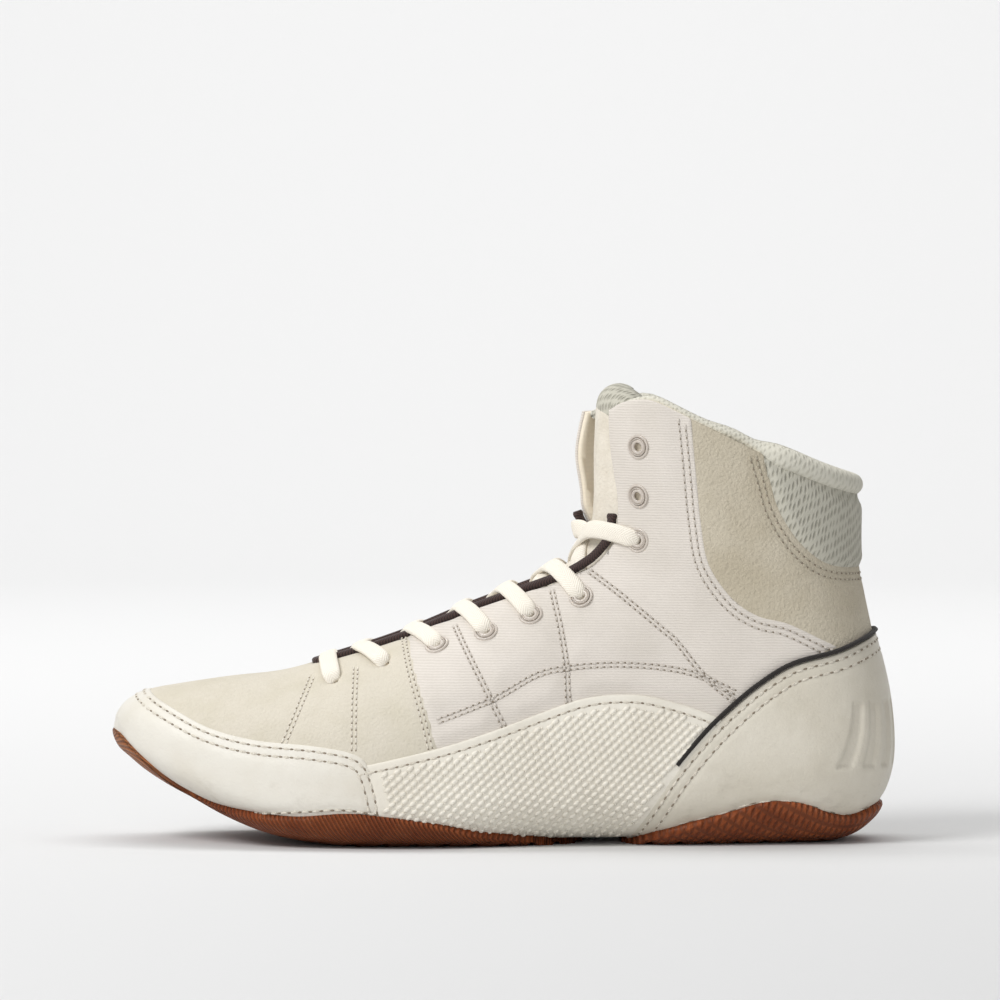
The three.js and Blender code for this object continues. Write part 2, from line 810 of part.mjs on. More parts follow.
// Laces: each bar lies over the flap that it ends on and dips into the throat on the other side
const reach_of = (spot) => {
  const section = section_at(spot.station);
  return section.half * Math.sin(spot.angle) ** (2 / section.roof);
};

const lace_oval = new THREE.Shape();
lace_oval.absellipse(0, 0, lace_thickness / 2, lace_width / 2, 0, 2 * Math.PI, false);
const lace_ring = lace_oval.getPoints(2).slice(0, 8);

// A flat lace swept along rows that hold its centre and the way up
const lace_solid = (rows) => {
  const points = rows.flatMap((row, place) => {
    const before = rows[Math.max(place - 1, 0)].centre;
    const after = rows[Math.min(place + 1, rows.length - 1)].centre;
    const along = after.clone().sub(before).normalize();
    const across = along.clone().cross(row.up).normalize();
    const up = across.clone().cross(along).normalize();
    return lace_ring.map((spot) => (
      row.centre.clone().addScaledVector(up, spot.x).addScaledVector(across, spot.y)
    ));
  });
  const count = lace_ring.length;
  const faces = [];
  for (let ring = 0; ring + 1 < rows.length; ring += 1) {
    for (let turn = 0; turn < count; turn += 1) {
      const [a, b] = [ring * count + turn, ring * count + (turn + 1) % count];
      faces.push(a, b, b + count, a, b + count, a + count);
    }
  }
  const end = (rows.length - 1) * count;
  for (let turn = 1; turn + 1 < count; turn += 1) {
    faces.push(0, turn + 1, turn);
    faces.push(end, end + turn, end + turn + 1);
  }
  return solid_of_faces(points, faces);
};

const lace_over = eyelet_height + 2 * fit_gap + lace_thickness / 2;
const lace_dip = 0.8;

const lace_row = (from, to, side, share, both_over) => {
  const station = THREE.MathUtils.lerp(from.station, to.station, share);
  const reach = side * THREE.MathUtils.lerp(reach_of(from), -reach_of(to), share);
  const edge = half_gap_at(station);
  const outward = both_over ? Math.abs(reach) : side * reach;
  const height = THREE.MathUtils.lerp(lace_dip, lace_over, smooth(outward, 0.1 * edge, 0.75 * edge));
  const angle = angle_of_reach(station, reach);
  return {
    centre: above_skin(station, angle, height),
    up: normal_at(station, angle),
    inside: side * reach > binding_width + 2 * fit_gap + lace_width / 4 - edge,
  };
};

const lace_bar = (from, to, side, both_over = false) => {
  const shares = stations_between(0, 1, both_over ? 8 : 10);
  const rows = shares.map((share) => lace_row(from, to, side, share, both_over));
  return lace_solid(both_over ? rows : rows.filter((row) => row.inside));
};

const lace_crossing = (place) => {
  const [lower, higher] = [eyelet_spots[place], eyelet_spots[place + 1]];
  return lace_bar(higher, lower, -1).add(lace_bar(higher, lower, 1));
};

// Finishes: colour, roughness and the pieces that have it
const finish = (color, roughness) => new THREE.MeshStandardMaterial({ color, roughness, metalness: 0 });
const suede = finish('#e6dfcf', 0.9);
const smooth_leather = finish('#eae6db', 0.55);
const embossed_sheet = finish('#d7d1c4', 0.6);
const gum_rubber = finish('#8a4f33', 0.6);
const knit = finish('#bbb7ac', 0.95);
const dark_tape = finish('#3a2b29', 0.9);
const black_cord = finish('#25211f', 0.8);
const clear_plastic = finish('#d9cfc2', 0.35);
const woven_lace = finish('#efeadd', 0.9);
const tongue_cloth = finish('#e0d9ce', 0.9);
const footbed_foam = finish('#cfc9bb', 0.95);

const group = new THREE.Group();

const place_piece = (name, solid, material) => {
  const { vertProperties, triVerts } = solid.getMesh();
  const geometry = new THREE.BufferGeometry();
  geometry.setAttribute('position', new THREE.BufferAttribute(vertProperties, 3));
  geometry.setIndex(new THREE.BufferAttribute(triVerts, 1));
  geometry.computeVertexNormals();
  const mesh = new THREE.Mesh(geometry, material);
  mesh.name = name;
  group.add(mesh);
};

place_piece('upper', upper(), suede);
place_piece('outsole_forefoot', outsole_forefoot(), gum_rubber);
place_piece('outsole_heel', outsole_heel(), gum_rubber);
place_piece('insole', insole(), footbed_foam);
place_piece('tongue', tongue(), tongue_cloth);
place_piece('toe_guard', toe_guard(), smooth_leather);
place_piece('heel_counter', heel_counter(), smooth_leather);
place_piece('counter_piping', counter_piping(), black_cord);
place_piece('side_panel_lateral', side_panel(-1), embossed_sheet);
place_piece('side_panel_medial', side_panel(1), embossed_sheet);
place_piece('collar_cuff', collar_cuff(), knit);
place_piece('throat_binding', throat_binding(), dark_tape);
eyelet_spots.forEach((spot, place) => {
  if (place >= first_ring) {
    place_piece(`eyelet_ring_lateral_${place + 1}`, eyelet_ring(spot, -1), clear_plastic);
    place_piece(`eyelet_ring_medial_${place + 1}`, eyelet_ring(spot, 1), clear_plastic);
  }
});
place_piece('lace_bar_1', lace_bar(eyelet_spots[0], eyelet_spots[0], -1, true), woven_lace);
for (let place = 0; place + 1 < laced_pairs; place += 1) {
  place_piece(`lace_crossing_${place + 1}`, lace_crossing(place), woven_lace);
}

// The origin is under the middle of the shoe, on the ground.
const bounds = new THREE.Box3().setFromObject(group);
const middle = bounds.getCenter(new THREE.Vector3());
group.children.forEach((mesh) => mesh.position.set(-middle.x, -middle.y, -bounds.min.z));

export default group;
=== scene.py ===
"""A wrestling shoe for the left foot, standing empty on its sole."""
import math

import bpy
import numpy as np
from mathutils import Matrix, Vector


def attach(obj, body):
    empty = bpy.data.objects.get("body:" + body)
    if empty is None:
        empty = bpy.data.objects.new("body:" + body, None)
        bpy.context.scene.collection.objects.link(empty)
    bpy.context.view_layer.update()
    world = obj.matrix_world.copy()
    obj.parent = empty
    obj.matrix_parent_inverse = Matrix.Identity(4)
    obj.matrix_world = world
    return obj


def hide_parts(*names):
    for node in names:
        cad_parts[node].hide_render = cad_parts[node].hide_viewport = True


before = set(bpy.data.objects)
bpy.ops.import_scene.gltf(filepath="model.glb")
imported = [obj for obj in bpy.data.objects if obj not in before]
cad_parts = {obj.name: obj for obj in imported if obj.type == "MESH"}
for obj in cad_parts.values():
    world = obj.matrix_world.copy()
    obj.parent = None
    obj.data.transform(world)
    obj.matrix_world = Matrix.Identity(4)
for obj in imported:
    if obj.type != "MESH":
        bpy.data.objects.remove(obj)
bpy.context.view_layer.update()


# The last: the wooden or plastic foot that every piece is stretched or laid over.
# All lengths are millimetres, with the toe at x = 0 and the outer side at negative y.
SHOE_LENGTH = 285.0
BALL_WIDTH = 96.0
HEEL_WIDTH = 70.0
INSTEP_HEIGHT = 110.0
SHAFT_HEIGHT = 162.0
MEDIAL_FLARE = 13.0

# Columns: sole x, sole z, top x, top z, half width, middle, lean, waist, roof, floor
FOOT_SECTIONS = [
    [0.005, 0.375, 0.005, 0.375, 0.000, 0.073, 0.000, 0.50, 2.0, 2.0],
    [0.012, 0.330, 0.011, 0.420, 0.100, 0.069, 0.000, 0.45, 2.2, 2.2],
    [0.027, 0.297, 0.024, 0.455, 0.185, 0.062, 0.000, 0.42, 2.2, 2.5],
    [0.051, 0.250, 0.048, 0.488, 0.262, 0.054, 0.000, 0.40, 2.2, 2.8],
    [0.092, 0.188, 0.092, 0.510, 0.342, 0.041, 0.000, 0.37, 2.1, 3.2],
    [0.148, 0.122, 0.151, 0.533, 0.410, 0.025, 0.005, 0.34, 2.0, 3.6],
    [0.218, 0.068, 0.223, 0.556, 0.464, 0.010, 0.016, 0.32, 1.95, 4.0],
    [0.291, 0.040, 0.298, 0.615, 0.495, 0.000, 0.026, 0.30, 1.9, 4.0],
    [0.368, 0.036, 0.374, 0.685, 0.500, -0.010, 0.031, 0.29, 1.85, 4.0],
    [0.451, 0.030, 0.451, 0.778, 0.472, -0.021, 0.031, 0.28, 1.8, 3.6],
    [0.540, 0.022, 0.521, 0.862, 0.427, -0.023, 0.026, 0.27, 1.8, 3.0],
    [0.642, 0.022, 0.572, 0.935, 0.391, -0.019, 0.021, 0.28, 1.8, 3.0],
    [0.751, 0.030, 0.598, 1.000, 0.370, -0.010, 0.010, 0.29, 1.85, 3.4],
]
SHAFT_SECTIONS = [
    [0.850, 0.026, 0.608, 0.717, 0.497, 0, 0, 0.31, 1.9, 3.2],
    [0.925, 0.034, 0.612, 0.750, 0.494, 0, 0, 0.34, 1.95, 2.9],
    [0.965, 0.074, 0.613, 0.782, 0.494, 0, 0, 0.37, 2.0, 2.8],
    [0.986, 0.133, 0.613, 0.811, 0.494, 0, 0, 0.40, 2.0, 2.7],
    [0.994, 0.213, 0.613, 0.843, 0.500, 0, 0, 0.42, 2.0, 2.6],
    [0.988, 0.337, 0.613, 0.876, 0.507, 0, 0, 0.44, 2.05, 2.5],
    [0.968, 0.488, 0.614, 0.914, 0.511, 0, 0, 0.47, 2.1, 2.4],
    [0.953, 0.629, 0.615, 0.955, 0.509, 0, 0, 0.49, 2.15, 2.3],
    [0.952, 0.742, 0.617, 0.993, 0.507, 0, 0, 0.50, 2.2, 2.2],
    [0.953, 0.831, 0.619, 1.034, 0.505, 0, 0, 0.50, 2.2, 2.2],
    [0.955, 0.921, 0.622, 1.074, 0.505, 0, 0, 0.50, 2.2, 2.2],
]


def scaled_sections(rows, height, width):
    lengths = [SHOE_LENGTH, height, SHOE_LENGTH, height, width, width, width, 1, 1, 1]
    return np.array(rows) * lengths


sections = np.vstack([
    scaled_sections(FOOT_SECTIONS, INSTEP_HEIGHT, BALL_WIDTH),
    scaled_sections(SHAFT_SECTIONS, SHAFT_HEIGHT, HEEL_WIDTH),
])
LAST_STATION = len(sections) - 1
# The row before the toe mirrors the first one, so that the toe closes in a round nose.
before_toe = sections[1][[2, 3, 0, 1, 4, 5, 6, 7, 8, 9]] * [1, 1, 1, 1, -1, 1, 1, 1, 1, 1]
section_knots = np.vstack([before_toe, sections, 2 * sections[-1] - sections[-2]])


def section_at(station):
    """Columns of the section table at any station, on smooth curves through its rows."""
    station = np.asarray(station, float)
    index = np.clip(np.floor(station).astype(int), 0, LAST_STATION - 1)
    share = (station - index)[..., None]
    a, b, c, d = (section_knots[index + k] for k in range(4))
    line = 2 * b + (c - a) * share
    curve = (2 * a - 5 * b + 4 * c - d) * share ** 2 + (3 * b - a - 3 * c + d) * share ** 3
    return np.moveaxis(0.5 * (line + curve), -1, 0)


def smooth(value, low, high):
    share = np.clip((value - low) / (high - low), 0, 1)
    return share * share * (3 - 2 * share)


def flare_at(angle, z):
    """How far the inner flap of the shaft is pulled forward above the laces."""
    height = z / SHAFT_HEIGHT
    rise = smooth(height, 0.60, 0.76) * (1 - 0.35 * smooth(height, 0.84, 1.0))
    reach = smooth(angle, 0.15, 0.45) * (1 - smooth(angle, 0.7, 1.5))
    return MEDIAL_FLARE * rise * reach


def skin(station, angle, flared=True):
    """Points of the last. Angle 0 is the top line, pi the sole line, negative the outer side."""
    sole_x, sole_z, top_x, top_z, half, middle, lean, waist, roof, floor = section_at(station)
    across, upright = np.sin(angle), np.cos(angle)
    power = 2 / np.where(upright >= 0, roof, floor)
    bend = np.abs(upright) ** power
    rise = np.where(upright >= 0, waist + (1 - waist) * bend, waist * (1 - bend))
    x = sole_x + (top_x - sole_x) * rise
    y = middle + lean * rise + np.sign(across) * half * np.abs(across) ** power
    z = sole_z + (top_z - sole_z) * rise
    if flared:
        x = x - flare_at((angle + math.pi) % (2 * math.pi) - math.pi, z)
    return np.stack([x, y, z], -1)


def normal_at(station, angle, flared=True):
    step = 0.02
    station = np.clip(station, 2 * step, LAST_STATION - step)
    along = skin(station + step, angle, flared) - skin(station - step, angle, flared)
    around = skin(station, angle + step, flared) - skin(station, angle - step, flared)
    normal = np.cross(along, around)
    return normal / np.maximum(np.linalg.norm(normal, axis=-1, keepdims=True), 1e-9)


# Girth tables turn an even share of the half girth (0 top, 1 sole) into an angle.
TABLE_STATIONS = np.linspace(0, LAST_STATION, 20 * LAST_STATION + 1)
TABLE_SHARES = np.linspace(0, 1, 201)
girth_angles = np.linspace(0, math.pi, 361)
girth_points = skin(np.maximum(TABLE_STATIONS, 0.02)[:, None], -girth_angles[None, :], False)
girth_steps = np.linalg.norm(np.diff(girth_points, axis=1), axis=-1)
girth_run = np.pad(np.cumsum(girth_steps, axis=1), ((0, 0), (1, 0)))
HALF_GIRTHS = girth_run[:, -1]
angle_table = np.array([
    np.interp(TABLE_SHARES * run[-1], run, girth_angles) for run in girth_run
])


def angle_of_share(station, share):
    turned = (share + 1) % 2 - 1
    row = np.clip(station / LAST_STATION * (len(TABLE_STATIONS) - 1), 0, len(TABLE_STATIONS) - 1.001)
    column = np.clip(np.abs(turned) * (len(TABLE_SHARES) - 1), 0, len(TABLE_SHARES) - 1.001)
    i, j = row.astype(int), column.astype(int)
    u, v = row - i, column - j
    angle = ((1 - u) * (1 - v) * angle_table[i, j] + u * (1 - v) * angle_table[i + 1, j]
             + (1 - u) * v * angle_table[i, j + 1] + u * v * angle_table[i + 1, j + 1])
    return angle * np.sign(turned)


def half_girth(station):
    return np.interp(station, TABLE_STATIONS, HALF_GIRTHS)


def angle_of_reach(station, reach):
    """Angle on the upper half where the skin is so far to the side of its top line."""
    half, roof = section_at(station)[4], section_at(station)[8]
    return np.sign(reach) * np.arcsin(np.clip(np.abs(reach) / half, 0, 1) ** (roof / 2))


def place_on_side(x, z):
    """Station and angle, on the outer side, of points seen from the side at (x, z)."""
    x, z = np.asarray(x, float), np.asarray(z, float)

    def miss(station):
        row = section_at(station)
        return (x - row[0]) * (row[3] - row[1]) - (z - row[1]) * (row[2] - row[0])

    low = np.full(x.shape, 0.05)
    high = np.full(x.shape, float(LAST_STATION))
    start = np.sign(miss(low))
    for _ in range(45):
        middle = (low + high) / 2
        same = np.sign(miss(middle)) == start
        low = np.where(same, middle, low)
        high = np.where(same, high, middle)
    row = section_at(low)
    run_x, run_z = row[2] - row[0], row[3] - row[1]
    share = ((x - row[0]) * run_x + (z - row[1]) * run_z) / (run_x ** 2 + run_z ** 2)
    waist = row[7]
    above = np.clip((share - waist) / (1 - waist), 0, 1) ** (row[8] / 2)
    below = np.clip(1 - share / waist, 0, 1) ** (row[9] / 2)
    angle = np.where(share >= waist, np.arccos(above), math.pi - np.arccos(below))
    return low, -angle


def side_line(rows, count=6):
    """A smooth line in the side view through rows of (along, up) shares."""
    knots = np.array(rows, float) * [SHOE_LENGTH, SHAFT_HEIGHT]
    knots = np.vstack([2 * knots[0] - knots[1], knots, 2 * knots[-1] - knots[-2]])
    pieces = []
    for index in range(len(rows) - 1):
        share = np.linspace(0, 1, count, endpoint=False)[:, None]
        a, b, c, d = knots[index:index + 4]
        pieces.append(0.5 * (2 * b + (c - a) * share + (2 * a - 5 * b + 4 * c - d) * share ** 2
                             + (3 * b - a - 3 * c + d) * share ** 3))
    return np.vstack(pieces + [knots[-2:-1]])


def beside(line, distance):
    """The line moved to the left of its own direction."""
    along = np.gradient(line, axis=0)
    along = along / np.linalg.norm(along, axis=1, keepdims=True)
    return line + distance * np.stack([-along[:, 1], along[:, 0]], -1)


def distance_inside(points, outline):
    """Signed distance of side-view points to a closed outline, positive inside."""
    px, pz = points[..., 0].ravel(), points[..., -1].ravel()
    nearest = np.full(px.shape, 1e9)
    inside = np.zeros(px.shape, bool)
    for (ax, az), (bx, bz) in zip(outline, np.roll(outline, -1, axis=0)):
        run_x, run_z = bx - ax, bz - az
        length = max(run_x ** 2 + run_z ** 2, 1e-9)
        share = np.clip(((px - ax) * run_x + (pz - az) * run_z) / length, 0, 1)
        gap = np.hypot(px - ax - share * run_x, pz - az - share * run_z)
        nearest = np.minimum(nearest, gap)
        if az != bz:
            crosses = ((az > pz) != (bz > pz)) & (px < run_x * (pz - az) / run_z + ax)
            inside ^= crosses
    return (np.where(inside, 1, -1) * nearest).reshape(points.shape[:-1])


def distance_left(points, line):
    """Signed distance of side-view points to an open line, positive on its left."""
    px, pz = points[..., 0].ravel(), points[..., -1].ravel()
    nearest = np.full(px.shape, 1e9)
    signed = np.zeros(px.shape)
    for (ax, az), (bx, bz) in zip(line[:-1], line[1:]):
        run_x, run_z = bx - ax, bz - az
        length = run_x ** 2 + run_z ** 2
        share = np.clip(((px - ax) * run_x + (pz - az) * run_z) / length, 0, 1)
        gap = np.hypot(px - ax - share * run_x, pz - az - share * run_z)
        side = run_x * (pz - az) - run_z * (px - ax)
        closer = gap < nearest - 1e-9
        nearest = np.where(closer, gap, nearest)
        signed = np.where(closer, np.sign(side) * gap, signed)
    return signed.reshape(points.shape[:-1])


# Outlines seen from the side: along as a share of the length, up as a share of the shaft
GUM_FRONT_EDGE = [
    [-0.030, 0.262], [0.004, 0.244], [0.026, 0.209], [0.072, 0.136], [0.123, 0.086], [0.184, 0.064],
    [0.236, 0.064], [0.300, 0.078], [0.365, 0.066], [0.424, 0.043], [0.466, 0.021], [0.520, 0.006],
]
GUM_HEEL_EDGE = [
    [0.680, 0.006], [0.725, 0.036], [0.779, 0.068], [0.833, 0.097], [0.880, 0.091], [0.917, 0.063],
    [0.950, 0.057], [0.989, 0.086], [1.030, 0.120],
]
GUARD_EDGE = [
    [0.020, 0.390], [0.045, 0.336], [0.085, 0.296], [0.132, 0.259], [0.190, 0.236], [0.260, 0.226],
    [0.310, 0.211], [0.330, 0.185], [0.343, 0.130], [0.350, 0.060],
]
SIDE_PANEL_EDGE = [
    [0.318, 0.183], [0.365, 0.201], [0.430, 0.229], [0.494, 0.265], [0.550, 0.301], [0.599, 0.329],
    [0.644, 0.339], [0.690, 0.333], [0.756, 0.299], [0.800, 0.260],
]
COUNTER_EDGE = [
    [0.640, -0.020], [0.655, 0.018], [0.681, 0.079], [0.715, 0.164], [0.756, 0.249], [0.793, 0.312],
    [0.828, 0.362], [0.868, 0.404], [0.925, 0.431], [0.980, 0.472], [1.030, 0.500],
]
COLLAR_EDGE = [
    [0.540, 0.962], [0.615, 0.962], [0.634, 0.968], [0.649, 0.984], [0.668, 0.993], [0.690, 0.990],
    [0.737, 0.951], [0.780, 0.915], [0.828, 0.872],
]
CUFF_EDGE = [
    [0.828, 0.872], [0.837, 0.820], [0.847, 0.757], [0.866, 0.697], [0.890, 0.652], [0.918, 0.627],
    [0.965, 0.620], [1.030, 0.620],
]
VAMP_EDGE = [[0.381, 0.470], [0.390, 0.395], [0.404, 0.312], [0.420, 0.205]]
ANKLE_EDGE = [
    [0.731, 1.010], [0.736, 0.957], [0.743, 0.836], [0.750, 0.714], [0.760, 0.627], [0.788, 0.555],
    [0.821, 0.515], [0.860, 0.497], [0.917, 0.449], [0.960, 0.420],
]
# Station and half the gap as a share of the ball's width
THROAT_WIDTHS = np.array([
    [6.45, 0.030], [6.6, 0.065], [6.9, 0.092], [7.5, 0.108], [8.5, 0.122], [10, 0.140],
    [12, 0.165], [14, 0.186], [16, 0.190], [20, 0.190], [23, 0.190],
])
THROAT_START = THROAT_WIDTHS[0, 0]
gum_front = side_line(GUM_FRONT_EDGE)
gum_heel = side_line(GUM_HEEL_EDGE)
guard_line = side_line(GUARD_EDGE)
panel_line = side_line(SIDE_PANEL_EDGE)
counter_line = side_line(COUNTER_EDGE)
collar_line = side_line(COLLAR_EDGE)
cuff_line = side_line(CUFF_EDGE)
vamp_line = side_line(VAMP_EDGE)
ankle_line = side_line(ANKLE_EDGE)


def half_gap_at(station):
    return np.interp(station, THROAT_WIDTHS[:, 0], THROAT_WIDTHS[:, 1]) * BALL_WIDTH


def beyond_throat(station, points):
    """Distance from the throat's edge into the flap, positive on the flap."""
    row = section_at(station)
    rise = np.clip((points[..., 2] - row[1]) / np.maximum(row[3] - row[1], 1e-6), 0, 1)
    reach = np.abs(points[..., 1] - row[5] - row[6] * rise)
    lead = (THROAT_START - station) * 20
    apart = np.where(station > THROAT_START, reach - half_gap_at(station), np.hypot(lead, reach))
    return np.where(rise > row[7], apart, 50.0)


def to_world(points):
    return (np.asarray(points) - [SHOE_LENGTH / 2, 0, 0]) * 0.001


def mesh_object(name, points, faces, material, attributes=None, uv=None, period=None):
    """A smooth-shaded mesh from points in millimetres, riding on the shoe. A closed panel's
    pattern coordinate runs on by its period in the faces where it comes round."""
    mesh = bpy.data.meshes.new(name)
    mesh.from_pydata(to_world(points).tolist(), [], [list(face) for face in faces])
    mesh.validate()
    mesh.polygons.foreach_set("use_smooth", [True] * len(mesh.polygons))
    for key, values in (attributes or {}).items():
        mesh.attributes.new(key, "FLOAT", "POINT").data.foreach_set("value", np.asarray(values, np.float32))
    if uv is not None:
        loops = np.zeros(len(mesh.loops), np.int32)
        mesh.loops.foreach_get("vertex_index", loops)
        spread = np.asarray(uv, float)[loops]
        if period is not None:
            starts, sizes = np.zeros((2, len(mesh.polygons)), np.int32)
            mesh.polygons.foreach_get("loop_start", starts)
            mesh.polygons.foreach_get("loop_total", sizes)
            highest = np.repeat(np.maximum.reduceat(spread[:, 0], starts), sizes)
            spread[:, 0] += np.where(highest - spread[:, 0] > 0.5 * period[loops], period[loops], 0)
        layer = mesh.uv_layers.new(name="surface_mm")
        layer.data.foreach_set("uv", spread.astype(np.float32).ravel())
    mesh.materials.append(material)
    piece = bpy.data.objects.new(name, mesh)
    bpy.context.collection.objects.link(piece)
    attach(piece, "root")
    return piece


def laid_panel(name, material, inside, height, stations, shares=(-1, 1), base=-0.3,
               spacing=1.25, edge=0.4, press=None):
    """A closed panel of the skin with a smooth outline. inside(station, share, points) is the
    distance into it; height(station, share, points, distance) how far its face stands off."""
    closed = shares[1] - shares[0] >= 2
    pole = stations[0] <= 0.02
    fine = np.linspace(stations[0], stations[1], 700)[:, None]
    spread = skin(fine, angle_of_share(fine, np.linspace(*shares, 41)[None, :]), False)
    run = np.linalg.norm(np.diff(spread, axis=0), axis=-1).max(axis=1)
    run = np.concatenate([[0], np.cumsum(run)])
    rings = np.interp(np.linspace(0, run[-1], int(run[-1] / spacing) + 2), run, fine[:, 0])
    widest = half_girth(fine).max() * (shares[1] - shares[0])
    columns = np.linspace(*shares, int(widest / spacing) + 2, endpoint=not closed)
    station, share = [grid.copy() for grid in np.meshgrid(rings, columns, indexing="ij")]

    def distance(station, share):
        points = skin(station, angle_of_share(station, share))
        return inside(station, share, points), points

    value, points = distance(station, share)
    count_i, count_j = value.shape
    around = np.arange(count_j if closed else count_j - 1)
    beyond = (around + 1) % count_j
    corners = value[:-1, around] + value[1:, around] + value[1:, beyond] + value[:-1, beyond]
    cells = corners > 0
    touching = np.zeros(value.shape, int)
    for i in (0, 1):
        for j in (around, beyond):
            touching[i:i + count_i - 1, j] += cells
    rim = (touching > 0) & (touching < 4)
    if pole:
        rim[0] &= touching[0] < 2
    a, b = station[rim], share[rim]
    loose = np.abs(value[rim]) < 2.5 * spacing

    def settle(a, b, target):
        """Moves rim vertices within the skin until they lie at one distance from the outline."""
        for _ in range(6):
            here, at = distance(a, b)
            there_a, at_a = distance(a + 0.02, b)
            there_b, at_b = distance(a, b + 0.004)
            step_a = np.maximum(np.linalg.norm(at_a - at, axis=-1), 1e-6)
            step_b = np.maximum(np.linalg.norm(at_b - at, axis=-1), 1e-6)
            slope_a, slope_b = (there_a - here) / step_a, (there_b - here) / step_b
            steep = np.maximum(slope_a ** 2 + slope_b ** 2, 0.15)
            move = np.where(loose, np.clip((target - here) / steep, -spacing, spacing), 0)
            a = np.clip(a + move * slope_a * 0.02 / step_a, *stations)
            b = b + move * slope_b * 0.004 / step_b
            if not closed:
                b = np.clip(b, *shares)
        return a, b

    outer_a, outer_b = settle(a, b, 0.0)
    station[rim], share[rim] = settle(a, b, edge)
    value, points = distance(station, share)
    angle = angle_of_share(station, share)
    normals = normal_at(station, angle)
    depth = np.maximum(value, 0)
    raised = points + normals * height(station, share, points, depth)[..., None]
    lowered = points + normals * base
    rim_angle = angle_of_share(outer_a, outer_b)
    rim_points, rim_normals = skin(outer_a, rim_angle), normal_at(outer_a, rim_angle)
    rim_rise = height(outer_a, outer_b, rim_points, np.zeros(len(outer_a)))
    shoulder = rim_points + rim_normals * (rim_rise - 0.8 * edge)[:, None]
    if press:
        raised, shoulder = press(raised), press(shoulder)
    used = touching > 0
    number = np.full(value.shape, -1)
    number[used] = np.arange(used.sum())
    rim_number = np.full(value.shape, -1)
    rim_number[rim] = np.arange(rim.sum())
    count, ring = int(used.sum()), int(rim.sum())
    under = number + count + ring
    lowered[rim] = rim_points + rim_normals * base
    i, j = np.nonzero(cells)
    next_j = (j + 1) % count_j
    face = [number[i, j], number[i + 1, j], number[i + 1, next_j], number[i, next_j]]
    floor = [under[i, j], under[i, next_j], under[i + 1, next_j], under[i + 1, j]]
    faces = [np.stack(face, -1), np.stack(floor, -1)]
    sides = (((0, -1), (0, 0), (1, 0)), ((1, 0), (1, 0), (1, 1)),
             ((0, 1), (1, 1), (0, 1)), ((-1, 0), (0, 1), (0, 0)))
    for (di, dj), start, end in sides:
        at_i, at_j = i + di, j + dj
        if closed:
            at_j = at_j % count_j
        within = (at_i >= 0) & (at_i < cells.shape[0]) & (at_j >= 0) & (at_j < cells.shape[1])
        filled = np.zeros(len(i), bool)
        filled[within] = cells[at_i[within], at_j[within]]
        if pole:
            filled |= at_i < 0
        first = (i[~filled] + start[0], (j[~filled] + start[1]) % count_j)
        second = (i[~filled] + end[0], (j[~filled] + end[1]) % count_j)
        lip_first, lip_second = count + rim_number[first], count + rim_number[second]
        faces.append(np.stack([number[second], number[first], lip_first, lip_second], -1))
        faces.append(np.stack([lip_second, lip_first, under[first], under[second]], -1))
    faces = np.vstack(faces).tolist()
    if pole and touching[0].all():
        faces += [number[0].tolist(), under[0][::-1].tolist()]
    everything = np.vstack([raised[used], shoulder, lowered[used]])
    across = share * half_girth(station)
    across = np.concatenate([across[used], outer_b * half_girth(outer_a), across[used]])
    inset = np.concatenate([value[used], np.zeros(ring), value[used]])
    uv = np.stack([across, everything[:, 2]], -1)
    period = None
    if closed:
        rounds = 2 * half_girth(station)
        period = np.concatenate([rounds[used], 2 * half_girth(outer_a), rounds[used]])
    return mesh_object(name, everything, faces, material, {"inset_mm": inset}, uv, period)


def linear(text):
    """The linear colour of an sRGB hex text."""
    parts = [int(text[k:k + 2], 16) / 255 for k in (1, 3, 5)]
    return [c / 12.92 if c <= 0.04045 else ((c + 0.055) / 1.055) ** 2.4 for c in parts] + [1.0]


def add(tree, kind, settings=None, inputs=None):
    """Adds a node with its settings; an input is a value or another node's output socket."""
    made = tree.nodes.new(kind)
    for key, value in (settings or {}).items():
        setattr(made, key, value)
    for key, value in (inputs or {}).items():
        if isinstance(value, bpy.types.NodeSocket):
            tree.links.new(value, made.inputs[key])
        else:
            made.inputs[key].default_value = value
    return made


def maths(tree, operation, first, second=0.0, third=0.0, clamp=False):
    settings = {"operation": operation, "use_clamp": clamp}
    return add(tree, "ShaderNodeMath", settings, {0: first, 1: second, 2: third}).outputs[0]


def blend_colours(tree, share, first, second):
    mixed = add(tree, "ShaderNodeMix", {"data_type": "RGBA"}, {0: share, 6: first, 7: second})
    return mixed.outputs[2]


def new_surface(name, roughness, **shader):
    """A material, its tree, its shader and the place on the shoe in millimetres."""
    material = bpy.data.materials.new(name)
    material.use_nodes = True
    tree = material.node_tree
    surface = tree.nodes["Principled BSDF"]
    surface.inputs["Roughness"].default_value = roughness
    for key, value in shader.items():
        surface.inputs[key.replace("_", " ")].default_value = value
    place = add(tree, "ShaderNodeTexCoord").outputs["Object"]
    place = add(tree, "ShaderNodeVectorMath", {"operation": "SCALE"}, {0: place, "Scale": 1000.0})
    return material, tree, surface, place.outputs[0]


def noise(tree, place, size, detail=3.0, rough=0.55, stretch=(1, 1, 1)):
    """Soft noise whose lumps are about so many millimetres wide."""
    scaled = add(tree, "ShaderNodeMapping", {}, {"Vector": place, "Scale": [1 / s for s in stretch]})
    settings = {"Vector": scaled.outputs[0], "Scale": 1 / size, "Detail": detail, "Roughness": rough}
    return add(tree, "ShaderNodeTexNoise", {}, settings).outputs[0]


def ramp(tree, value, low, high):
    made = add(tree, "ShaderNodeMapRange", {"clamp": True, "interpolation_type": "SMOOTHSTEP"},
               {"Value": value, "From Min": low, "From Max": high})
    return made.outputs[0]


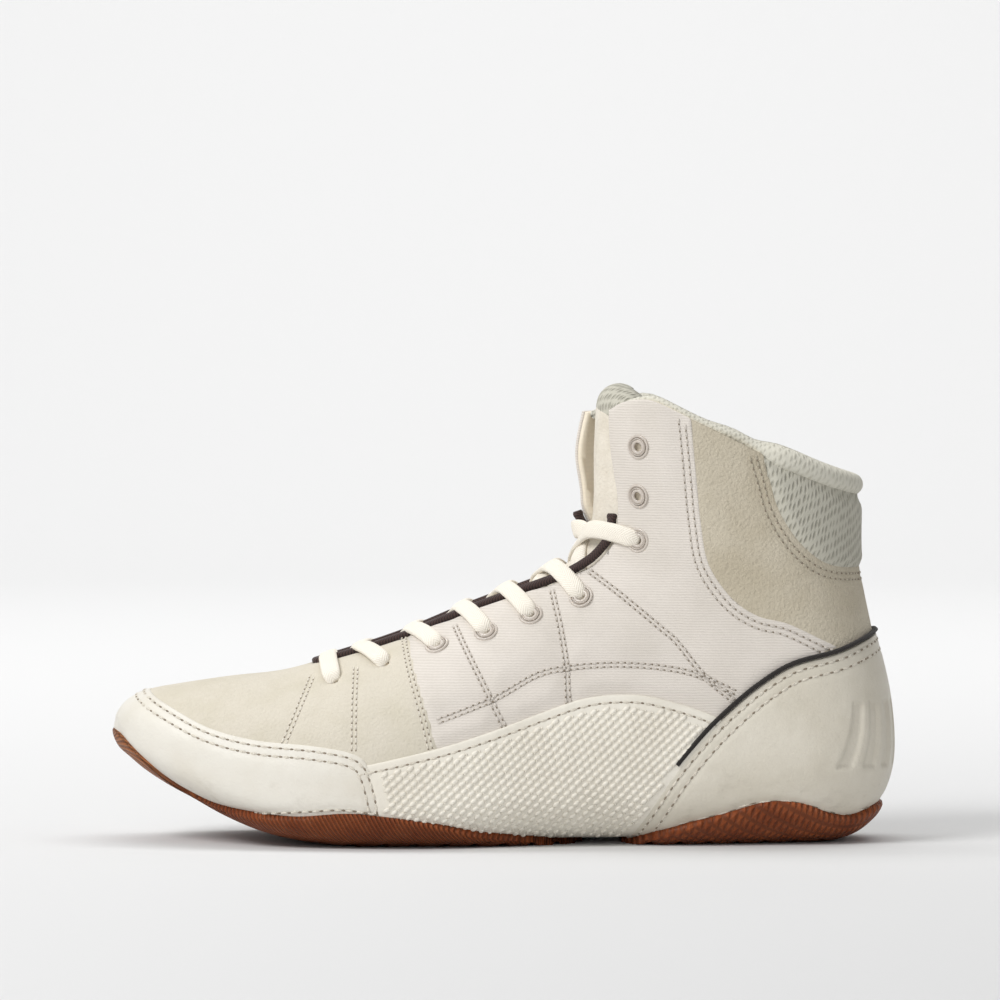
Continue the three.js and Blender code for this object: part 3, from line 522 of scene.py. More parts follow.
def bump(tree, surface, heights):
    """Chains bumps; each is (height socket, depth in millimetres)."""
    normal = None
    for height, depth in heights:
        inputs = {"Height": height, "Distance": depth * 0.001, "Strength": 1.0}
        if normal is not None:
            inputs["Normal"] = normal
        normal = add(tree, "ShaderNodeBump", {}, inputs).outputs[0]
    tree.links.new(normal, surface.inputs["Normal"])


def height_of(tree, place):
    return add(tree, "ShaderNodeSeparateXYZ", {}, {0: place}).outputs[2]


# Nubuck and suede: buffed hides with a fine nap, a little shaded where fingers brushed it
def napped_hide(name, colour, shade, grime, lump=14.0, nap=0.35, depth=0.09, grain=0.35):
    material, tree, surface, place = new_surface(name, 0.92, Sheen_Weight=0.08, Sheen_Roughness=0.5)
    surface.inputs["Specular IOR Level"].default_value = 0.2
    patches = ramp(tree, noise(tree, place, lump, 4.0), 0.35, 0.7)
    fine = noise(tree, place, 1.3, 4.0, 0.7)
    brushed = blend_colours(tree, patches, linear(colour), linear(shade))
    speck = maths(tree, "MULTIPLY", ramp(tree, fine, 0.42, 0.72), 0.16)
    wear_and_shade = blend_colours(tree, speck, brushed, linear(grime))
    low = maths(tree, "SUBTRACT", 1.0, ramp(tree, height_of(tree, place), 4.0, 34.0))
    smudge = maths(tree, "MULTIPLY", low, ramp(tree, noise(tree, place, 7.0, 5.0), 0.4, 0.7))
    wear_and_shade = blend_colours(tree, maths(tree, "MULTIPLY", smudge, 0.35), wear_and_shade, linear(grime))
    tree.links.new(wear_and_shade, surface.inputs["Base Color"])
    bump(tree, surface, [(noise(tree, place, nap, 3.0, 0.7), depth), (noise(tree, place, 1.1, 2.0), grain)])
    return material


nubuck = napped_hide("vamp_nubuck", "#d4cdbe", "#cec7b6", "#c2b8a5")
suede = napped_hide("ankle_suede", "#c9c0ad", "#beb49f", "#938976", lump=26.0, nap=0.5, depth=0.14, grain=0.6)


# The quarters' cloth: close woven, with fine level ribs about a millimetre apart, and painted shade in the furrows
# between them
def ribbed_cloth(name, colour, shade, pitch=0.95, depth=0.1, furrow_shade=0.22):
    material, tree, surface, place = new_surface(name, 0.85, Sheen_Weight=0.15)
    surface.inputs["Specular IOR Level"].default_value = 0.25
    along = add(tree, "ShaderNodeUVMap", {"uv_map": "surface_mm"}).outputs[0]
    part = add(tree, "ShaderNodeSeparateXYZ", {}, {0: along}).outputs
    warp = maths(tree, "MULTIPLY_ADD", noise(tree, place, 6.0), 0.6, part[1])
    rib = maths(tree, "SINE", maths(tree, "MULTIPLY", warp, 2 * math.pi / pitch))
    weft = maths(tree, "SINE", maths(tree, "MULTIPLY", part[0], 2 * math.pi / (0.6 * pitch)))
    weave = maths(tree, "MULTIPLY_ADD", weft, 0.35, rib)
    share = ramp(tree, weave, -1.2, 0.6)
    patches = ramp(tree, noise(tree, place, 25.0, 4.0), 0.3, 0.75)
    pale = blend_colours(tree, patches, linear(colour), linear(shade))
    # The furrows between the ribs are painted a darker grey: painted shade.
    wear_and_shade = blend_colours(tree, share, linear("#a59c8c"), pale)
    wear_and_shade = blend_colours(tree, furrow_shade, pale, wear_and_shade)
    tree.links.new(wear_and_shade, surface.inputs["Base Color"])
    bump(tree, surface, [(share, depth), (noise(tree, place, 0.7), 0.1)])
    return material


cloth = ribbed_cloth("quarter_cloth", "#e1dad2", "#d8d1c8", depth=0.065)


# Smooth leather: full grain with a thin finish, rubbed dull and grey at its lower edges
def grain_leather(name, colour, shade, grime):
    material, tree, surface, place = new_surface(name, 0.5, Coat_Weight=0.12, Coat_Roughness=0.35)
    surface.inputs["Specular IOR Level"].default_value = 0.4
    patches = ramp(tree, noise(tree, place, 30.0, 4.0), 0.3, 0.75)
    pale = blend_colours(tree, patches, linear(colour), linear(shade))
    low = maths(tree, "SUBTRACT", 1.0, ramp(tree, height_of(tree, place), 6.0, 36.0))
    rubbed = ramp(tree, noise(tree, place, 5.0, 6.0, 0.65, (2.5, 1, 1)), 0.52, 0.75)
    smudge = maths(tree, "MULTIPLY", rubbed, maths(tree, "MULTIPLY_ADD", low, 0.22, 0.06))
    wear_and_shade = blend_colours(tree, smudge, pale, linear(grime))
    tree.links.new(wear_and_shade, surface.inputs["Base Color"])
    dull = maths(tree, "MULTIPLY_ADD", rubbed, 0.25, 0.45)
    tree.links.new(dull, surface.inputs["Roughness"])
    bump(tree, surface, [(noise(tree, place, 0.9, 3.0, 0.6), 0.13), (noise(tree, place, 5.0), 0.3)])
    return material


guard_leather = grain_leather("guard_leather", "#e1ddd3", "#d8d2c5", "#a39a8b")
counter_leather = grain_leather("counter_leather", "#ddd7c9", "#d0c9b9", "#958c7c")
embossed = grain_leather("embossed_sheet", "#ebe6da", "#e2dccf", "#a39a8a")


# Gum rubber: soft natural rubber, reddish brown, paler and dusty where it is thin or rubbed, with painted shade in its
# tread furrows
def gum(name, pattern, pitch=1.6):
    material, tree, surface, place = new_surface(name, 0.55, Coat_Weight=0.05)
    surface.inputs["Subsurface Weight"].default_value = 0.08
    surface.inputs["Specular IOR Level"].default_value = 0.2
    surface.inputs["Subsurface Radius"].default_value = (0.004, 0.0015, 0.0006)
    ahead = maths(tree, "SUBTRACT", 1.0, ramp(tree, add(tree, "ShaderNodeSeparateXYZ", {}, {0: place}).outputs[0],
                                              -142.0, -100.0))
    deep = blend_colours(tree, ramp(tree, noise(tree, place, 9.0, 5.0), 0.3, 0.7),
                         linear("#99522c"), linear("#864322"))
    wear_and_shade = blend_colours(tree, maths(tree, "MULTIPLY", ahead, 0.8), deep, linear("#b0754c"))
    dust = maths(tree, "MULTIPLY", ramp(tree, noise(tree, place, 2.0, 5.0, 0.7), 0.55, 0.8), 0.35)
    wear_and_shade = blend_colours(tree, dust, wear_and_shade, linear("#a5826a"))
    along = add(tree, "ShaderNodeUVMap", {"uv_map": "surface_mm"}).outputs[0]
    part = add(tree, "ShaderNodeSeparateXYZ", {}, {0: place}).outputs
    rise = add(tree, "ShaderNodeSeparateXYZ", {}, {0: along}).outputs[0]
    tracks = []
    for lean in pattern:
        run = maths(tree, "MULTIPLY_ADD", rise, lean, part[0])
        tracks.append(maths(tree, "SINE", maths(tree, "MULTIPLY", run, 2 * math.pi / pitch)))
    height = tracks[0] if len(tracks) == 1 else maths(tree, "MINIMUM", *tracks)
    # The tread's furrows are painted a dark brown: painted shade.
    furrow_shade = maths(tree, "SUBTRACT", 1.0, ramp(tree, height, -1.0, -0.2))
    wear_and_shade = blend_colours(tree, maths(tree, "MULTIPLY", furrow_shade, 0.6), wear_and_shade, linear("#4f2a19"))
    tree.links.new(wear_and_shade, surface.inputs["Base Color"])
    bump(tree, surface, [(height, 0.5), (noise(tree, place, 1.0), 0.08)])
    return material


gum_forefoot = gum("gum_ribbed", [0.6], 1.3)
gum_heel_rubber = gum("gum_crosshatched", [0.9, -0.9], 4.0)


# Lining: a soft pale mesh glued inside the whole upper, from toe to collar
lining_cloth = ribbed_cloth("lining_mesh", "#f0e6d4", "#e6dac4", pitch=1.6, depth=0.03, furrow_shade=0.04)
below_cuff = np.vstack([[-40.0, collar_line[0, 1]], collar_line, collar_line[-1] + [1.5, -8.0],
                        [330.0, 100.0]])


def shell_inside(station, share, points):
    return np.minimum(beyond_throat(station, points), -distance_left(points, below_cuff))


def flat(rise):
    return lambda station, share, points, distance: np.full(points.shape[:-1], rise)


EYELETS = [
    [6.83, 0.178], [7.68, 0.139], [8.55, 0.123], [9.36, 0.115], [10.17, 0.085],
    [11.35, 0.062], [15.37, 0.055], [17.77, 0.069], [19.80, 0.097],
]
eyelets = [(station, angle_of_reach(station, half_gap_at(station) + back * BALL_WIDTH))
           for station, back in EYELETS]


def clear_of_eyelets(points, radius):
    """Distance from the nearest eyelet hole's edge."""
    nearest = np.full(points.shape[:-1], 60.0)
    for station, angle in eyelets:
        for side in (-1, 1):
            apart = np.linalg.norm(points - skin(station, side * angle), axis=-1)
            nearest = np.minimum(nearest, apart - radius)
    return nearest


lining = laid_panel("lining", lining_cloth, shell_inside, flat(-0.3), (0.02, 23.25), base=-2.3, spacing=3.0)
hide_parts("upper")


# Seams: every row of stitches pulls its panel down into a soft trough. Rows are (along, up).
def side_rows(rows):
    return side_line(rows, 4)


QUILT_LINES = [side_rows(rows) for rows in (
    [[0.610, 0.607], [0.650, 0.555], [0.700, 0.483], [0.719, 0.454], [0.752, 0.382], [0.788, 0.328]],
    [[0.562, 0.562], [0.572, 0.483], [0.579, 0.404], [0.581, 0.326]],
    [[0.439, 0.483], [0.457, 0.420], [0.478, 0.348], [0.498, 0.276]],
    [[0.419, 0.283], [0.457, 0.308], [0.496, 0.337], [0.543, 0.382], [0.587, 0.398], [0.644, 0.404],
     [0.700, 0.398], [0.745, 0.382], [0.788, 0.348]],
)]
VAMP_SEAMS = [side_rows(rows) for rows in (
    [[0.257, 0.368], [0.225, 0.236]],
    [[0.313, 0.389], [0.312, 0.308], [0.312, 0.225]],
)]
GUARD_FOOT = side_rows([
    [0.008, 0.262], [0.024, 0.220], [0.052, 0.175], [0.088, 0.133], [0.131, 0.099], [0.171, 0.086],
    [0.203, 0.083], [0.249, 0.086], [0.296, 0.090], [0.334, 0.083],
])
COUNTER_FOOT = side_rows([
    [0.725, 0.058], [0.785, 0.083], [0.807, 0.097], [0.834, 0.104], [0.860, 0.104], [0.885, 0.095],
    [0.907, 0.083], [0.928, 0.072], [0.950, 0.082], [0.985, 0.108],
])


def trough(points, line, width, depth):
    return -depth * np.exp(-(distance_left(points, line) / width) ** 2)


def double_seam(points, line, depth=0.28):
    return trough(points, line, 1.9, depth)


# Soft creases, seen from the side: start, end (along, up), half width and depth in mm
CREASES = [
    [0.585, 0.560, 0.655, 0.505, 5.0, 0.55],
    [0.600, 0.640, 0.690, 0.600, 6.0, 0.50],
    [0.560, 0.470, 0.640, 0.440, 6.0, 0.35],
    [0.345, 0.400, 0.375, 0.260, 5.0, 0.30],
    [0.280, 0.360, 0.262, 0.260, 4.5, 0.25],
    [0.770, 0.620, 0.900, 0.560, 7.0, 0.50],
    [0.790, 0.700, 0.860, 0.600, 6.0, 0.35],
    [0.690, 0.800, 0.735, 0.690, 7.0, 0.40],
]


def creases(points):
    """Listed troughs, each with a softer ridge along its upper side."""
    total = np.zeros(points.shape[:-1])
    for x0, z0, x1, z1, width, depth in CREASES:
        start = np.array([x0 * SHOE_LENGTH, z0 * SHAFT_HEIGHT])
        end = np.array([x1 * SHOE_LENGTH, z1 * SHAFT_HEIGHT])
        run = end - start
        flat_points = np.stack([points[..., 0], points[..., 2]], -1) - start
        share = (flat_points @ run) / (run @ run)
        ease = smooth(share, -0.15, 0.3) * (1 - smooth(share, 0.7, 1.15))
        across = (run[0] * flat_points[..., 1] - run[1] * flat_points[..., 0]) / np.hypot(*run)
        total += ease * depth * (0.5 * np.exp(-((across - 1.3 * width) / width) ** 2)
                                 - np.exp(-(across / width) ** 2))
    return total


def covered(points):
    """How far points lie under the guard, a side panel or the counter, in side view."""
    lines = (guard_line, panel_line, counter_line)
    return np.max([-distance_left(points, line) for line in lines], axis=0)


def soft(points):
    return creases(points) * (1 - smooth(covered(points), -6.0, 0.0))


def rounded_edge(distance, drop=0.35, width=1.2):
    return -drop * np.exp(-distance / width)


# Ankle panel: a suede piece that wraps the back of the shaft, stitched under the quarters
def ankle_height(station, share, points, distance):
    rows = trough(points, beside(cuff_line, -4.0), 2.2, 0.28)
    rows += trough(points, beside(collar_line, -3.0), 1.8, 0.2)
    return 0.35 + soft(points) + rows + rounded_edge(distance)


def ankle_inside(station, share, points):
    return np.minimum(np.minimum(distance_left(points, ankle_line) + 6.0, shell_inside(station, share, points)),
                      -distance_left(points, cuff_line))


ankle = laid_panel("ankle_panel", suede, ankle_inside, ankle_height, (12.0, 23.25), spacing=1.5)


# Quarters: ribbed cloth from the vamp to the ankle panel, quilted in curved bays
def quarter_height(station, share, points, distance):
    calm = QUILT_LINES + [beside(ankle_line, -3.3)]
    nearest = np.min([np.abs(distance_left(points, line)) for line in calm], axis=0)
    under_vamp = smooth(-distance_left(points, vamp_line), -0.3, 1.2)
    under = np.maximum(smooth(covered(points), -5.0, 0.5), under_vamp)
    puff = 0.55 * smooth(nearest, 1.5, 8.0) * (1 - under)
    seams = sum(double_seam(points, line) for line in QUILT_LINES)
    edge = trough(points, beside(ankle_line, -3.3), 2.2, 0.25)
    return 0.8 + puff + seams + edge + soft(points) + rounded_edge(distance) - 0.45 * under


def quarter_inside(station, share, points):
    region = np.minimum(-distance_left(points, ankle_line), shell_inside(station, share, points))
    region = np.minimum(region, distance_left(points, vamp_line) + 6.0)
    return np.minimum(region, clear_of_eyelets(points, 2.3))


quarter = laid_panel("quarters", cloth, quarter_inside, quarter_height, (6.0, 23.25), spacing=1.45)


# Vamp: nubuck over the forefoot, with a forked seam on each side
def vamp_height(station, share, points, distance):
    seams = sum(double_seam(points, line) for line in VAMP_SEAMS)
    seams += double_seam(points, beside(vamp_line, -2.6), 0.2)
    return 0.9 + seams + soft(points) + rounded_edge(distance)


def vamp_inside(station, share, points):
    region = np.minimum(beyond_throat(station, points), -distance_left(points, vamp_line))
    return np.minimum(region, clear_of_eyelets(points, 2.0))


vamp = laid_panel("vamp", nubuck, vamp_inside, vamp_height, (0.02, 10.0), spacing=1.6)


# Toe guard: smooth leather lasted round the toe, with a double row along its edge
def guard_height(station, share, points, distance):
    seams = trough(points, beside(guard_line, -1.9), 1.2, 0.22)
    seams += trough(points, beside(guard_line, -4.7), 1.2, 0.25)
    seams += trough(points, GUARD_FOOT, 1.4, 0.5)
    under = distance_left(points, gum_front)
    return 1.6 + seams + rounded_edge(distance) - 1.0 * smooth(-under, -1.2, 1.5)


guard = laid_panel(
    "toe_guard_leather", guard_leather,
    lambda station, share, points: np.minimum(-distance_left(points, guard_line), distance_left(points, gum_front) + 5),
    guard_height, (0.02, 9.0), spacing=1.4)
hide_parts("toe_guard")


# Side panels: embossed sheet between guard and counter
def panel_inside(station, share, points):
    between = np.minimum(distance_left(points, guard_line) + 3, distance_left(points, counter_line) + 3)
    above_floor = points[..., 2] - 0.022 * SHAFT_HEIGHT
    return np.minimum(np.minimum(-distance_left(points, panel_line), between), above_floor)


def panel_height(station, share, points, distance):
    return 1.5 + trough(points, beside(panel_line, -2.9), 1.4, 0.25) + rounded_edge(distance)


for side, shares in (("lateral", (-0.98, -0.2)), ("medial", (0.2, 0.98))):
    panel = laid_panel(f"side_panel_sheet_{side}", embossed, panel_inside, panel_height, (5.0, 16.0), shares)
    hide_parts(f"side_panel_{side}")


# Heel counter: smooth leather round the heel, debossed with a plain row of bars
BAR_PITCH = 9.5
BAR_HALF_WIDTH = 2.6
HEEL_HALF_GIRTH = float(half_girth(16.0))


def counter_height(station, share, points, distance):
    seams = trough(points, beside(counter_line, -2.2), 1.3, 0.3)
    seams += trough(points, beside(counter_line, -5.8), 1.3, 0.3)
    seams += trough(points, COUNTER_FOOT, 1.3, 0.25)
    around = (1 - np.abs((share + 1) % 2 - 1)) * HEEL_HALF_GIRTH
    apart = np.abs((around / BAR_PITCH + 0.5) % 1 - 0.5) * BAR_PITCH
    bar = 1 - smooth(apart, BAR_HALF_WIDTH - 0.5, BAR_HALF_WIDTH + 0.5)
    band = smooth(points[..., 2], 28.0, 29.0) * (1 - smooth(points[..., 2], 51.0, 52.0))
    bar = bar * band * (around < 4.5 * BAR_PITCH)
    under = distance_left(points, gum_heel)
    return 1.75 + seams + rounded_edge(distance) - 1.0 * bar - 1.0 * smooth(-under, -1.2, 1.5)


counter = laid_panel(
    "heel_counter_leather", counter_leather,
    lambda station, share, points: np.minimum(-distance_left(points, counter_line), distance_left(points, gum_heel) + 5),
    counter_height, (9.5, 20.0), spacing=0.85)
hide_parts("heel_counter")


# Outsole: two gum pods, moulded thin where they turn up round the toe and heel
def rubber_thickness(station, share, points):
    """Thin up the sides, thicker underneath, thin again where the toe turns up."""
    down = -normal_at(station, angle_of_share(station, share))[..., 2]
    return 2.3 + 2.6 * smooth(down, 0.1, 0.95) * (0.3 + 0.7 * smooth(points[..., 0], 28.0, 62.0))


def sole_height(station, share, points, distance):
    return rubber_thickness(station, share, points) + rounded_edge(distance, 0.5, 0.8)


def gum_inside(line):
    """Below a gum line as it is seen on the pod's own face."""
    def inside(station, share, points):
        normal = normal_at(station, angle_of_share(station, share))
        level = rubber_thickness(station, share, points)
        return -distance_left(points + normal * level[..., None], line)
    return inside


def on_ground(points):
    points = points.copy()
    run = points[..., 0] + points[..., 1] * math.tan(math.radians(18))
    apart = np.abs((run / 11.0 + 0.5) % 1 - 0.5) * 11.0
    groove = 1.4 * (1 - smooth(apart, 1.0, 1.8))
    points[..., 2] = np.maximum(points[..., 2], groove)
    return points


for name, material, line, stations in (("forefoot", gum_forefoot, gum_front, (0.02, 13.0)),
                                       ("heel", gum_heel_rubber, gum_heel, (9.5, 19.0))):
    pod = laid_panel(f"gum_{name}", material, gum_inside(line), sole_height, stations,
                     press=on_ground, edge=0.5, spacing=1.35)
    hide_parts(f"outsole_{name}")


# Insole: a foam footbed that lies loose on the lining's floor
def insole_inside(station, share, points):
    row = section_at(station)
    rise = np.clip((points[..., 2] - row[1]) / np.maximum(row[3] - row[1], 1e-6), 0, 1)
    share = np.clip((2 * station - 16) / 12, -1, 1)
    room = 0.8 * row[4] * (1 - 0.4 * share ** 8) - np.abs(points[..., 1] - row[5] - row[6] * rise)
    return np.where(rise < row[7], room, -50.0)


footbed = ribbed_cloth("footbed_cloth", "#cfc9bb", "#b8b09f", pitch=1.2, depth=0.1)
insole = laid_panel("footbed", footbed, insole_inside, flat(-3.2), (2.0, 14.0), base=-6.2, spacing=2.2)
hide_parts("insole")


# Stitches: each is a short waxed thread between two needle holes, laid along its seam by
# one node tree that spaces, turns and sets them; a dark flat bead in each gap is painted shade for the needle hole
def stitch_tree():
    tree = bpy.data.node_groups.new("stitches_on_seams", "GeometryNodeTree")
    tree.interface.new_socket("Geometry", in_out="INPUT", socket_type="NodeSocketGeometry")
    for name in ("Pitch", "Length", "Width"):
        tree.interface.new_socket(name, in_out="INPUT", socket_type="NodeSocketFloat")
    tree.interface.new_socket("Material", in_out="INPUT", socket_type="NodeSocketMaterial")
    tree.interface.new_socket("Hole Material", in_out="INPUT", socket_type="NodeSocketMaterial")
    tree.interface.new_socket("Geometry", in_out="OUTPUT", socket_type="NodeSocketGeometry")
    given = tree.nodes.new("NodeGroupInput").outputs
    curve = add(tree, "GeometryNodeMeshToCurve", {}, {"Mesh": given["Geometry"]})
    spaced = add(tree, "GeometryNodeResampleCurve", {"mode": "LENGTH"},
                 {"Curve": curve.outputs[0], "Length": given["Pitch"]})
    up = add(tree, "GeometryNodeInputNamedAttribute", {"data_type": "FLOAT_VECTOR"}, {"Name": "up"})
    along = add(tree, "GeometryNodeInputTangent")
    turn = add(tree, "FunctionNodeAxesToRotation", {"primary_axis": "X", "secondary_axis": "Z"},
               {0: along.outputs[0], 1: up.outputs[0]})
    half_pitch = maths(tree, "MULTIPLY", given["Pitch"], 0.5)
    shift = add(tree, "ShaderNodeVectorMath", {"operation": "SCALE"},
                {0: along.outputs[0], "Scale": half_pitch})
    joined = add(tree, "GeometryNodeJoinGeometry")
    # The second bead, dark and flat in each gap, is painted shade for the needle hole.
    hole = maths(tree, "ADD", maths(tree, "SUBTRACT", given["Pitch"], given["Length"]), 0.0002)
    for long, wide, high, move, finish, rings in ((given["Length"], 1.0, 0.6, None, "Material", 6),
                                                  (hole, 0.7, 0.5, shift, "Hole Material", 4)):
        bead = add(tree, "GeometryNodeMeshUVSphere", {}, {"Segments": 8, "Rings": rings, "Radius": 0.5})
        size = add(tree, "ShaderNodeCombineXYZ", {}, {
            0: long,
            1: maths(tree, "MULTIPLY", given["Width"], wide),
            2: maths(tree, "MULTIPLY", given["Width"], high)})
        shape = add(tree, "GeometryNodeTransform", {}, {"Geometry": bead.outputs[0],
                                                        "Scale": size.outputs[0]})
        coated = add(tree, "GeometryNodeSetMaterial", {}, {"Geometry": shape.outputs[0],
                                                           "Material": given[finish]})
        at = spaced
        if move:
            at = add(tree, "GeometryNodeSetPosition", {}, {"Geometry": spaced.outputs[0],
                                                           "Offset": move.outputs[0]})
        placed = add(tree, "GeometryNodeInstanceOnPoints", {}, {
            "Points": at.outputs[0], "Instance": coated.outputs[0], "Rotation": turn.outputs[0]})
        tree.links.new(placed.outputs[0], joined.inputs[0])
    real = add(tree, "GeometryNodeRealizeInstances", {}, {0: joined.outputs[0]})
    smoothed = add(tree, "GeometryNodeSetShadeSmooth", {}, {0: real.outputs[0]})
    add(tree, "NodeGroupOutput", {}, {0: smoothed.outputs[0]})
    return tree


def made_by_tree(name, points, edges, vectors, tree, inputs):
    """Runs a node tree on points or lines in millimetres and keeps its plain mesh."""
    mesh = bpy.data.meshes.new(name + "_path")
    mesh.from_pydata(to_world(points).tolist(), edges, [])
    for key, values in vectors.items():
        layer = mesh.attributes.new(key, "FLOAT_VECTOR", "POINT")
        layer.data.foreach_set("vector", np.asarray(values, np.float32).ravel())
    piece = bpy.data.objects.new(name, mesh)
    bpy.context.collection.objects.link(piece)
    modifier = piece.modifiers.new("made", "NODES")
    modifier.node_group = tree
    for socket in tree.interface.items_tree:
        if socket.in_out == "INPUT" and socket.name in inputs:
            modifier[socket.identifier] = inputs[socket.name]
    depsgraph = bpy.context.evaluated_depsgraph_get()
    plain = bpy.data.meshes.new_from_object(piece.evaluated_get(depsgraph))
    piece.modifiers.remove(modifier)
    piece.data = plain
    bpy.data.meshes.remove(mesh)
    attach(piece, "root")
    return piece


def thread(name, colour, shade):
    material, tree, surface, place = new_surface(name, 0.75, Sheen_Weight=0.2)
    twist = maths(tree, "SINE", maths(tree, "MULTIPLY", noise(tree, place, 0.4), 20.0))
    tree.links.new(blend_colours(tree, ramp(tree, noise(tree, place, 0.5), 0.3, 0.7), linear(colour),
                                 linear(shade)), surface.inputs["Base Color"])
    bump(tree, surface, [(twist, 0.05)])
    return material


cream_thread = thread("cream_waxed_thread", "#eee8da", "#d8cfbf")
grey_thread = thread("grey_quilting_thread", "#e3dcd3", "#cfc6bb")
suede_thread = thread("suede_coloured_thread", "#c8bfab", "#b5ab96")
# Dark beads between the stitches: painted shade standing for the needle holes.
needle_hole, tree, surface, place = new_surface("needle_hole_shade", 0.95)
tree.links.new(blend_colours(tree, ramp(tree, noise(tree, place, 0.6), 0.3, 0.7), linear("#978b7b"),
                             linear("#7f7364")), surface.inputs["Base Color"])
stitches = stitch_tree()


def on_side(line, side=1):
    """The points of a side-view line that lie on the last, as stations and angles.
    Side 1 is the outer side, -1 the inner one."""
    aim = line.copy()
    for _ in range(1 if side > 0 else 4):
        station, angle = place_on_side(aim[:, 0], aim[:, 1])
        off = skin(station, side * angle)[:, [0, 2]] - line
        aim = aim - off
    return np.hypot(off[:, 0], off[:, 1]) < 0.5, station, side * angle


TOE_TURN = 12.5
HEEL_TURN = 271.5


def wrapped_row(line, middle, reach, low, high):
    """A side-view line traced by angle round the toe or heel, where it turns out of view."""
    angle = middle + np.linspace(-reach, reach, 300)
    low, high = np.full(angle.shape, low), np.full(angle.shape, high)
    for _ in range(30):
        half = (low + high) / 2
        beyond = distance_left(skin(half, angle), line) > 0
        low, high = np.where(beyond, low, half), np.where(beyond, half, high)
    x = skin(low, angle)[:, 0]
    return (x < TOE_TURN) | (x > HEEL_TURN), low, angle


def round_toe(line):
    return wrapped_row(line, 0.0, 2.0, 0.03, 6.0)


def round_heel(line):
    return wrapped_row(line, math.pi, 1.3, 12.0, 23.0)


def both_sides(lines):
    """Side-view lines as rows on both sides of the shoe."""
    rows = []
    for line in lines:
        fine = np.stack([np.interp(np.linspace(0, 1, 60), np.linspace(0, 1, len(line)), line[:, k])
                         for k in (0, 1)], -1)
        for side in (1, -1):
            lies, station, angle = on_side(fine, side)
            lies &= distance_left(fine, below_cuff) < -1.5
            lies &= (fine[:, 0] > TOE_TURN) & (fine[:, 0] < HEEL_TURN)
            rows.append((lies, station, angle))
    return rows


def stitched(name, rows, rise, pitch, length, width, material):
    """Stitches along rows of stations and angles, wherever a row lies on the shoe."""
    points, ups, edges = [], [], []
    for lies, station, angle in rows:
        last = None
        ats, normals = skin(station, angle), normal_at(station, angle)
        lifts = rise + soft(ats)
        for k in np.nonzero(lies)[0]:
            points.append(ats[k] + normals[k] * lifts[k])
            ups.append(normals[k])
            if last == k - 1 and last is not None:
                edges.append((len(points) - 2, len(points) - 1))
            last = k
    inputs = {"Pitch": pitch * 0.001, "Length": length * 0.001, "Width": width * 0.001,
              "Material": material, "Hole Material": needle_hole}
    return made_by_tree(name, np.array(points), edges, {"up": ups}, stitches, inputs)


def doubled(line, apart=0.75):
    return [beside(line, apart), beside(line, -apart)]


stitched("quilting_stitches", both_sides([row for line in QUILT_LINES for row in doubled(line)]),
         0.64, 2.4, 1.9, 1.0, grey_thread)
stitched("ankle_edge_stitches", both_sides([beside(ankle_line, -2.2), beside(ankle_line, -4.4)]),
         0.62, 2.6, 2.1, 1.0, grey_thread)
cuff_rows = [beside(cuff_line, -2.9), beside(cuff_line, -5.1)]
stitched("cuff_edge_stitches", both_sides(cuff_rows) + [round_heel(line) for line in cuff_rows],
         0.14, 2.6, 2.0, 1.0, suede_thread)
vamp_rows = [row for line in VAMP_SEAMS + [beside(vamp_line, -2.6)] for row in doubled(line)]
stitched("vamp_stitches", both_sides(vamp_rows), 0.7, 2.5, 2.0, 0.95, cream_thread)
guard_rows = [beside(guard_line, -1.9), beside(guard_line, -4.7)]
stitched("guard_stitches", both_sides(guard_rows + [GUARD_FOOT]) + [round_toe(line) for line in guard_rows],
         1.37, 4.0, 2.7, 1.1, cream_thread)
counter_rows = [beside(counter_line, -2.2), beside(counter_line, -5.8)]
stitched("counter_stitches", both_sides(counter_rows) + [round_heel(line) for line in counter_rows],
         1.46, 4.0, 2.7, 1.1, cream_thread)
stitched("counter_foot_stitches", both_sides([COUNTER_FOOT]), 1.5, 7.0, 4.6, 0.8, cream_thread)
stitched("side_panel_stitches", both_sides([beside(panel_line, -2.9)]), 1.27, 3.8, 2.7, 1.0, cream_thread)


# Embossing: leaf-shaped pips in slanted rows with fine dots between them, pressed up in the
# side panels
def pip_tree():
    tree = bpy.data.node_groups.new("pips_on_panel", "GeometryNodeTree")
    tree.interface.new_socket("Geometry", in_out="INPUT", socket_type="NodeSocketGeometry")
    tree.interface.new_socket("Size", in_out="INPUT", socket_type="NodeSocketVector")
    tree.interface.new_socket("Detail", in_out="INPUT", socket_type="NodeSocketInt")
    tree.interface.new_socket("Material", in_out="INPUT", socket_type="NodeSocketMaterial")
    tree.interface.new_socket("Geometry", in_out="OUTPUT", socket_type="NodeSocketGeometry")
    given = tree.nodes.new("NodeGroupInput").outputs
    spots = add(tree, "GeometryNodeMeshToPoints", {}, {"Mesh": given["Geometry"]})
    axes = [add(tree, "GeometryNodeInputNamedAttribute", {"data_type": "FLOAT_VECTOR"}, {"Name": key})
            for key in ("along", "up")]
    turn = add(tree, "FunctionNodeAxesToRotation", {"primary_axis": "Z", "secondary_axis": "X"},
               {0: axes[1].outputs[0], 1: axes[0].outputs[0]})
    pip = add(tree, "GeometryNodeMeshIcoSphere", {}, {"Radius": 0.5, "Subdivisions": given["Detail"]})
    shape = add(tree, "GeometryNodeTransform", {}, {"Geometry": pip.outputs[0], "Scale": given["Size"]})
    placed = add(tree, "GeometryNodeInstanceOnPoints", {}, {
        "Points": spots.outputs[0], "Instance": shape.outputs[0], "Rotation": turn.outputs[0]})
    real = add(tree, "GeometryNodeRealizeInstances", {}, {0: placed.outputs[0]})
    smoothed = add(tree, "GeometryNodeSetShadeSmooth", {}, {0: real.outputs[0]})
    coated = add(tree, "GeometryNodeSetMaterial", {}, {"Geometry": smoothed.outputs[0],
                                                       "Material": given["Material"]})
    add(tree, "NodeGroupOutput", {}, {0: coated.outputs[0]})
    return tree


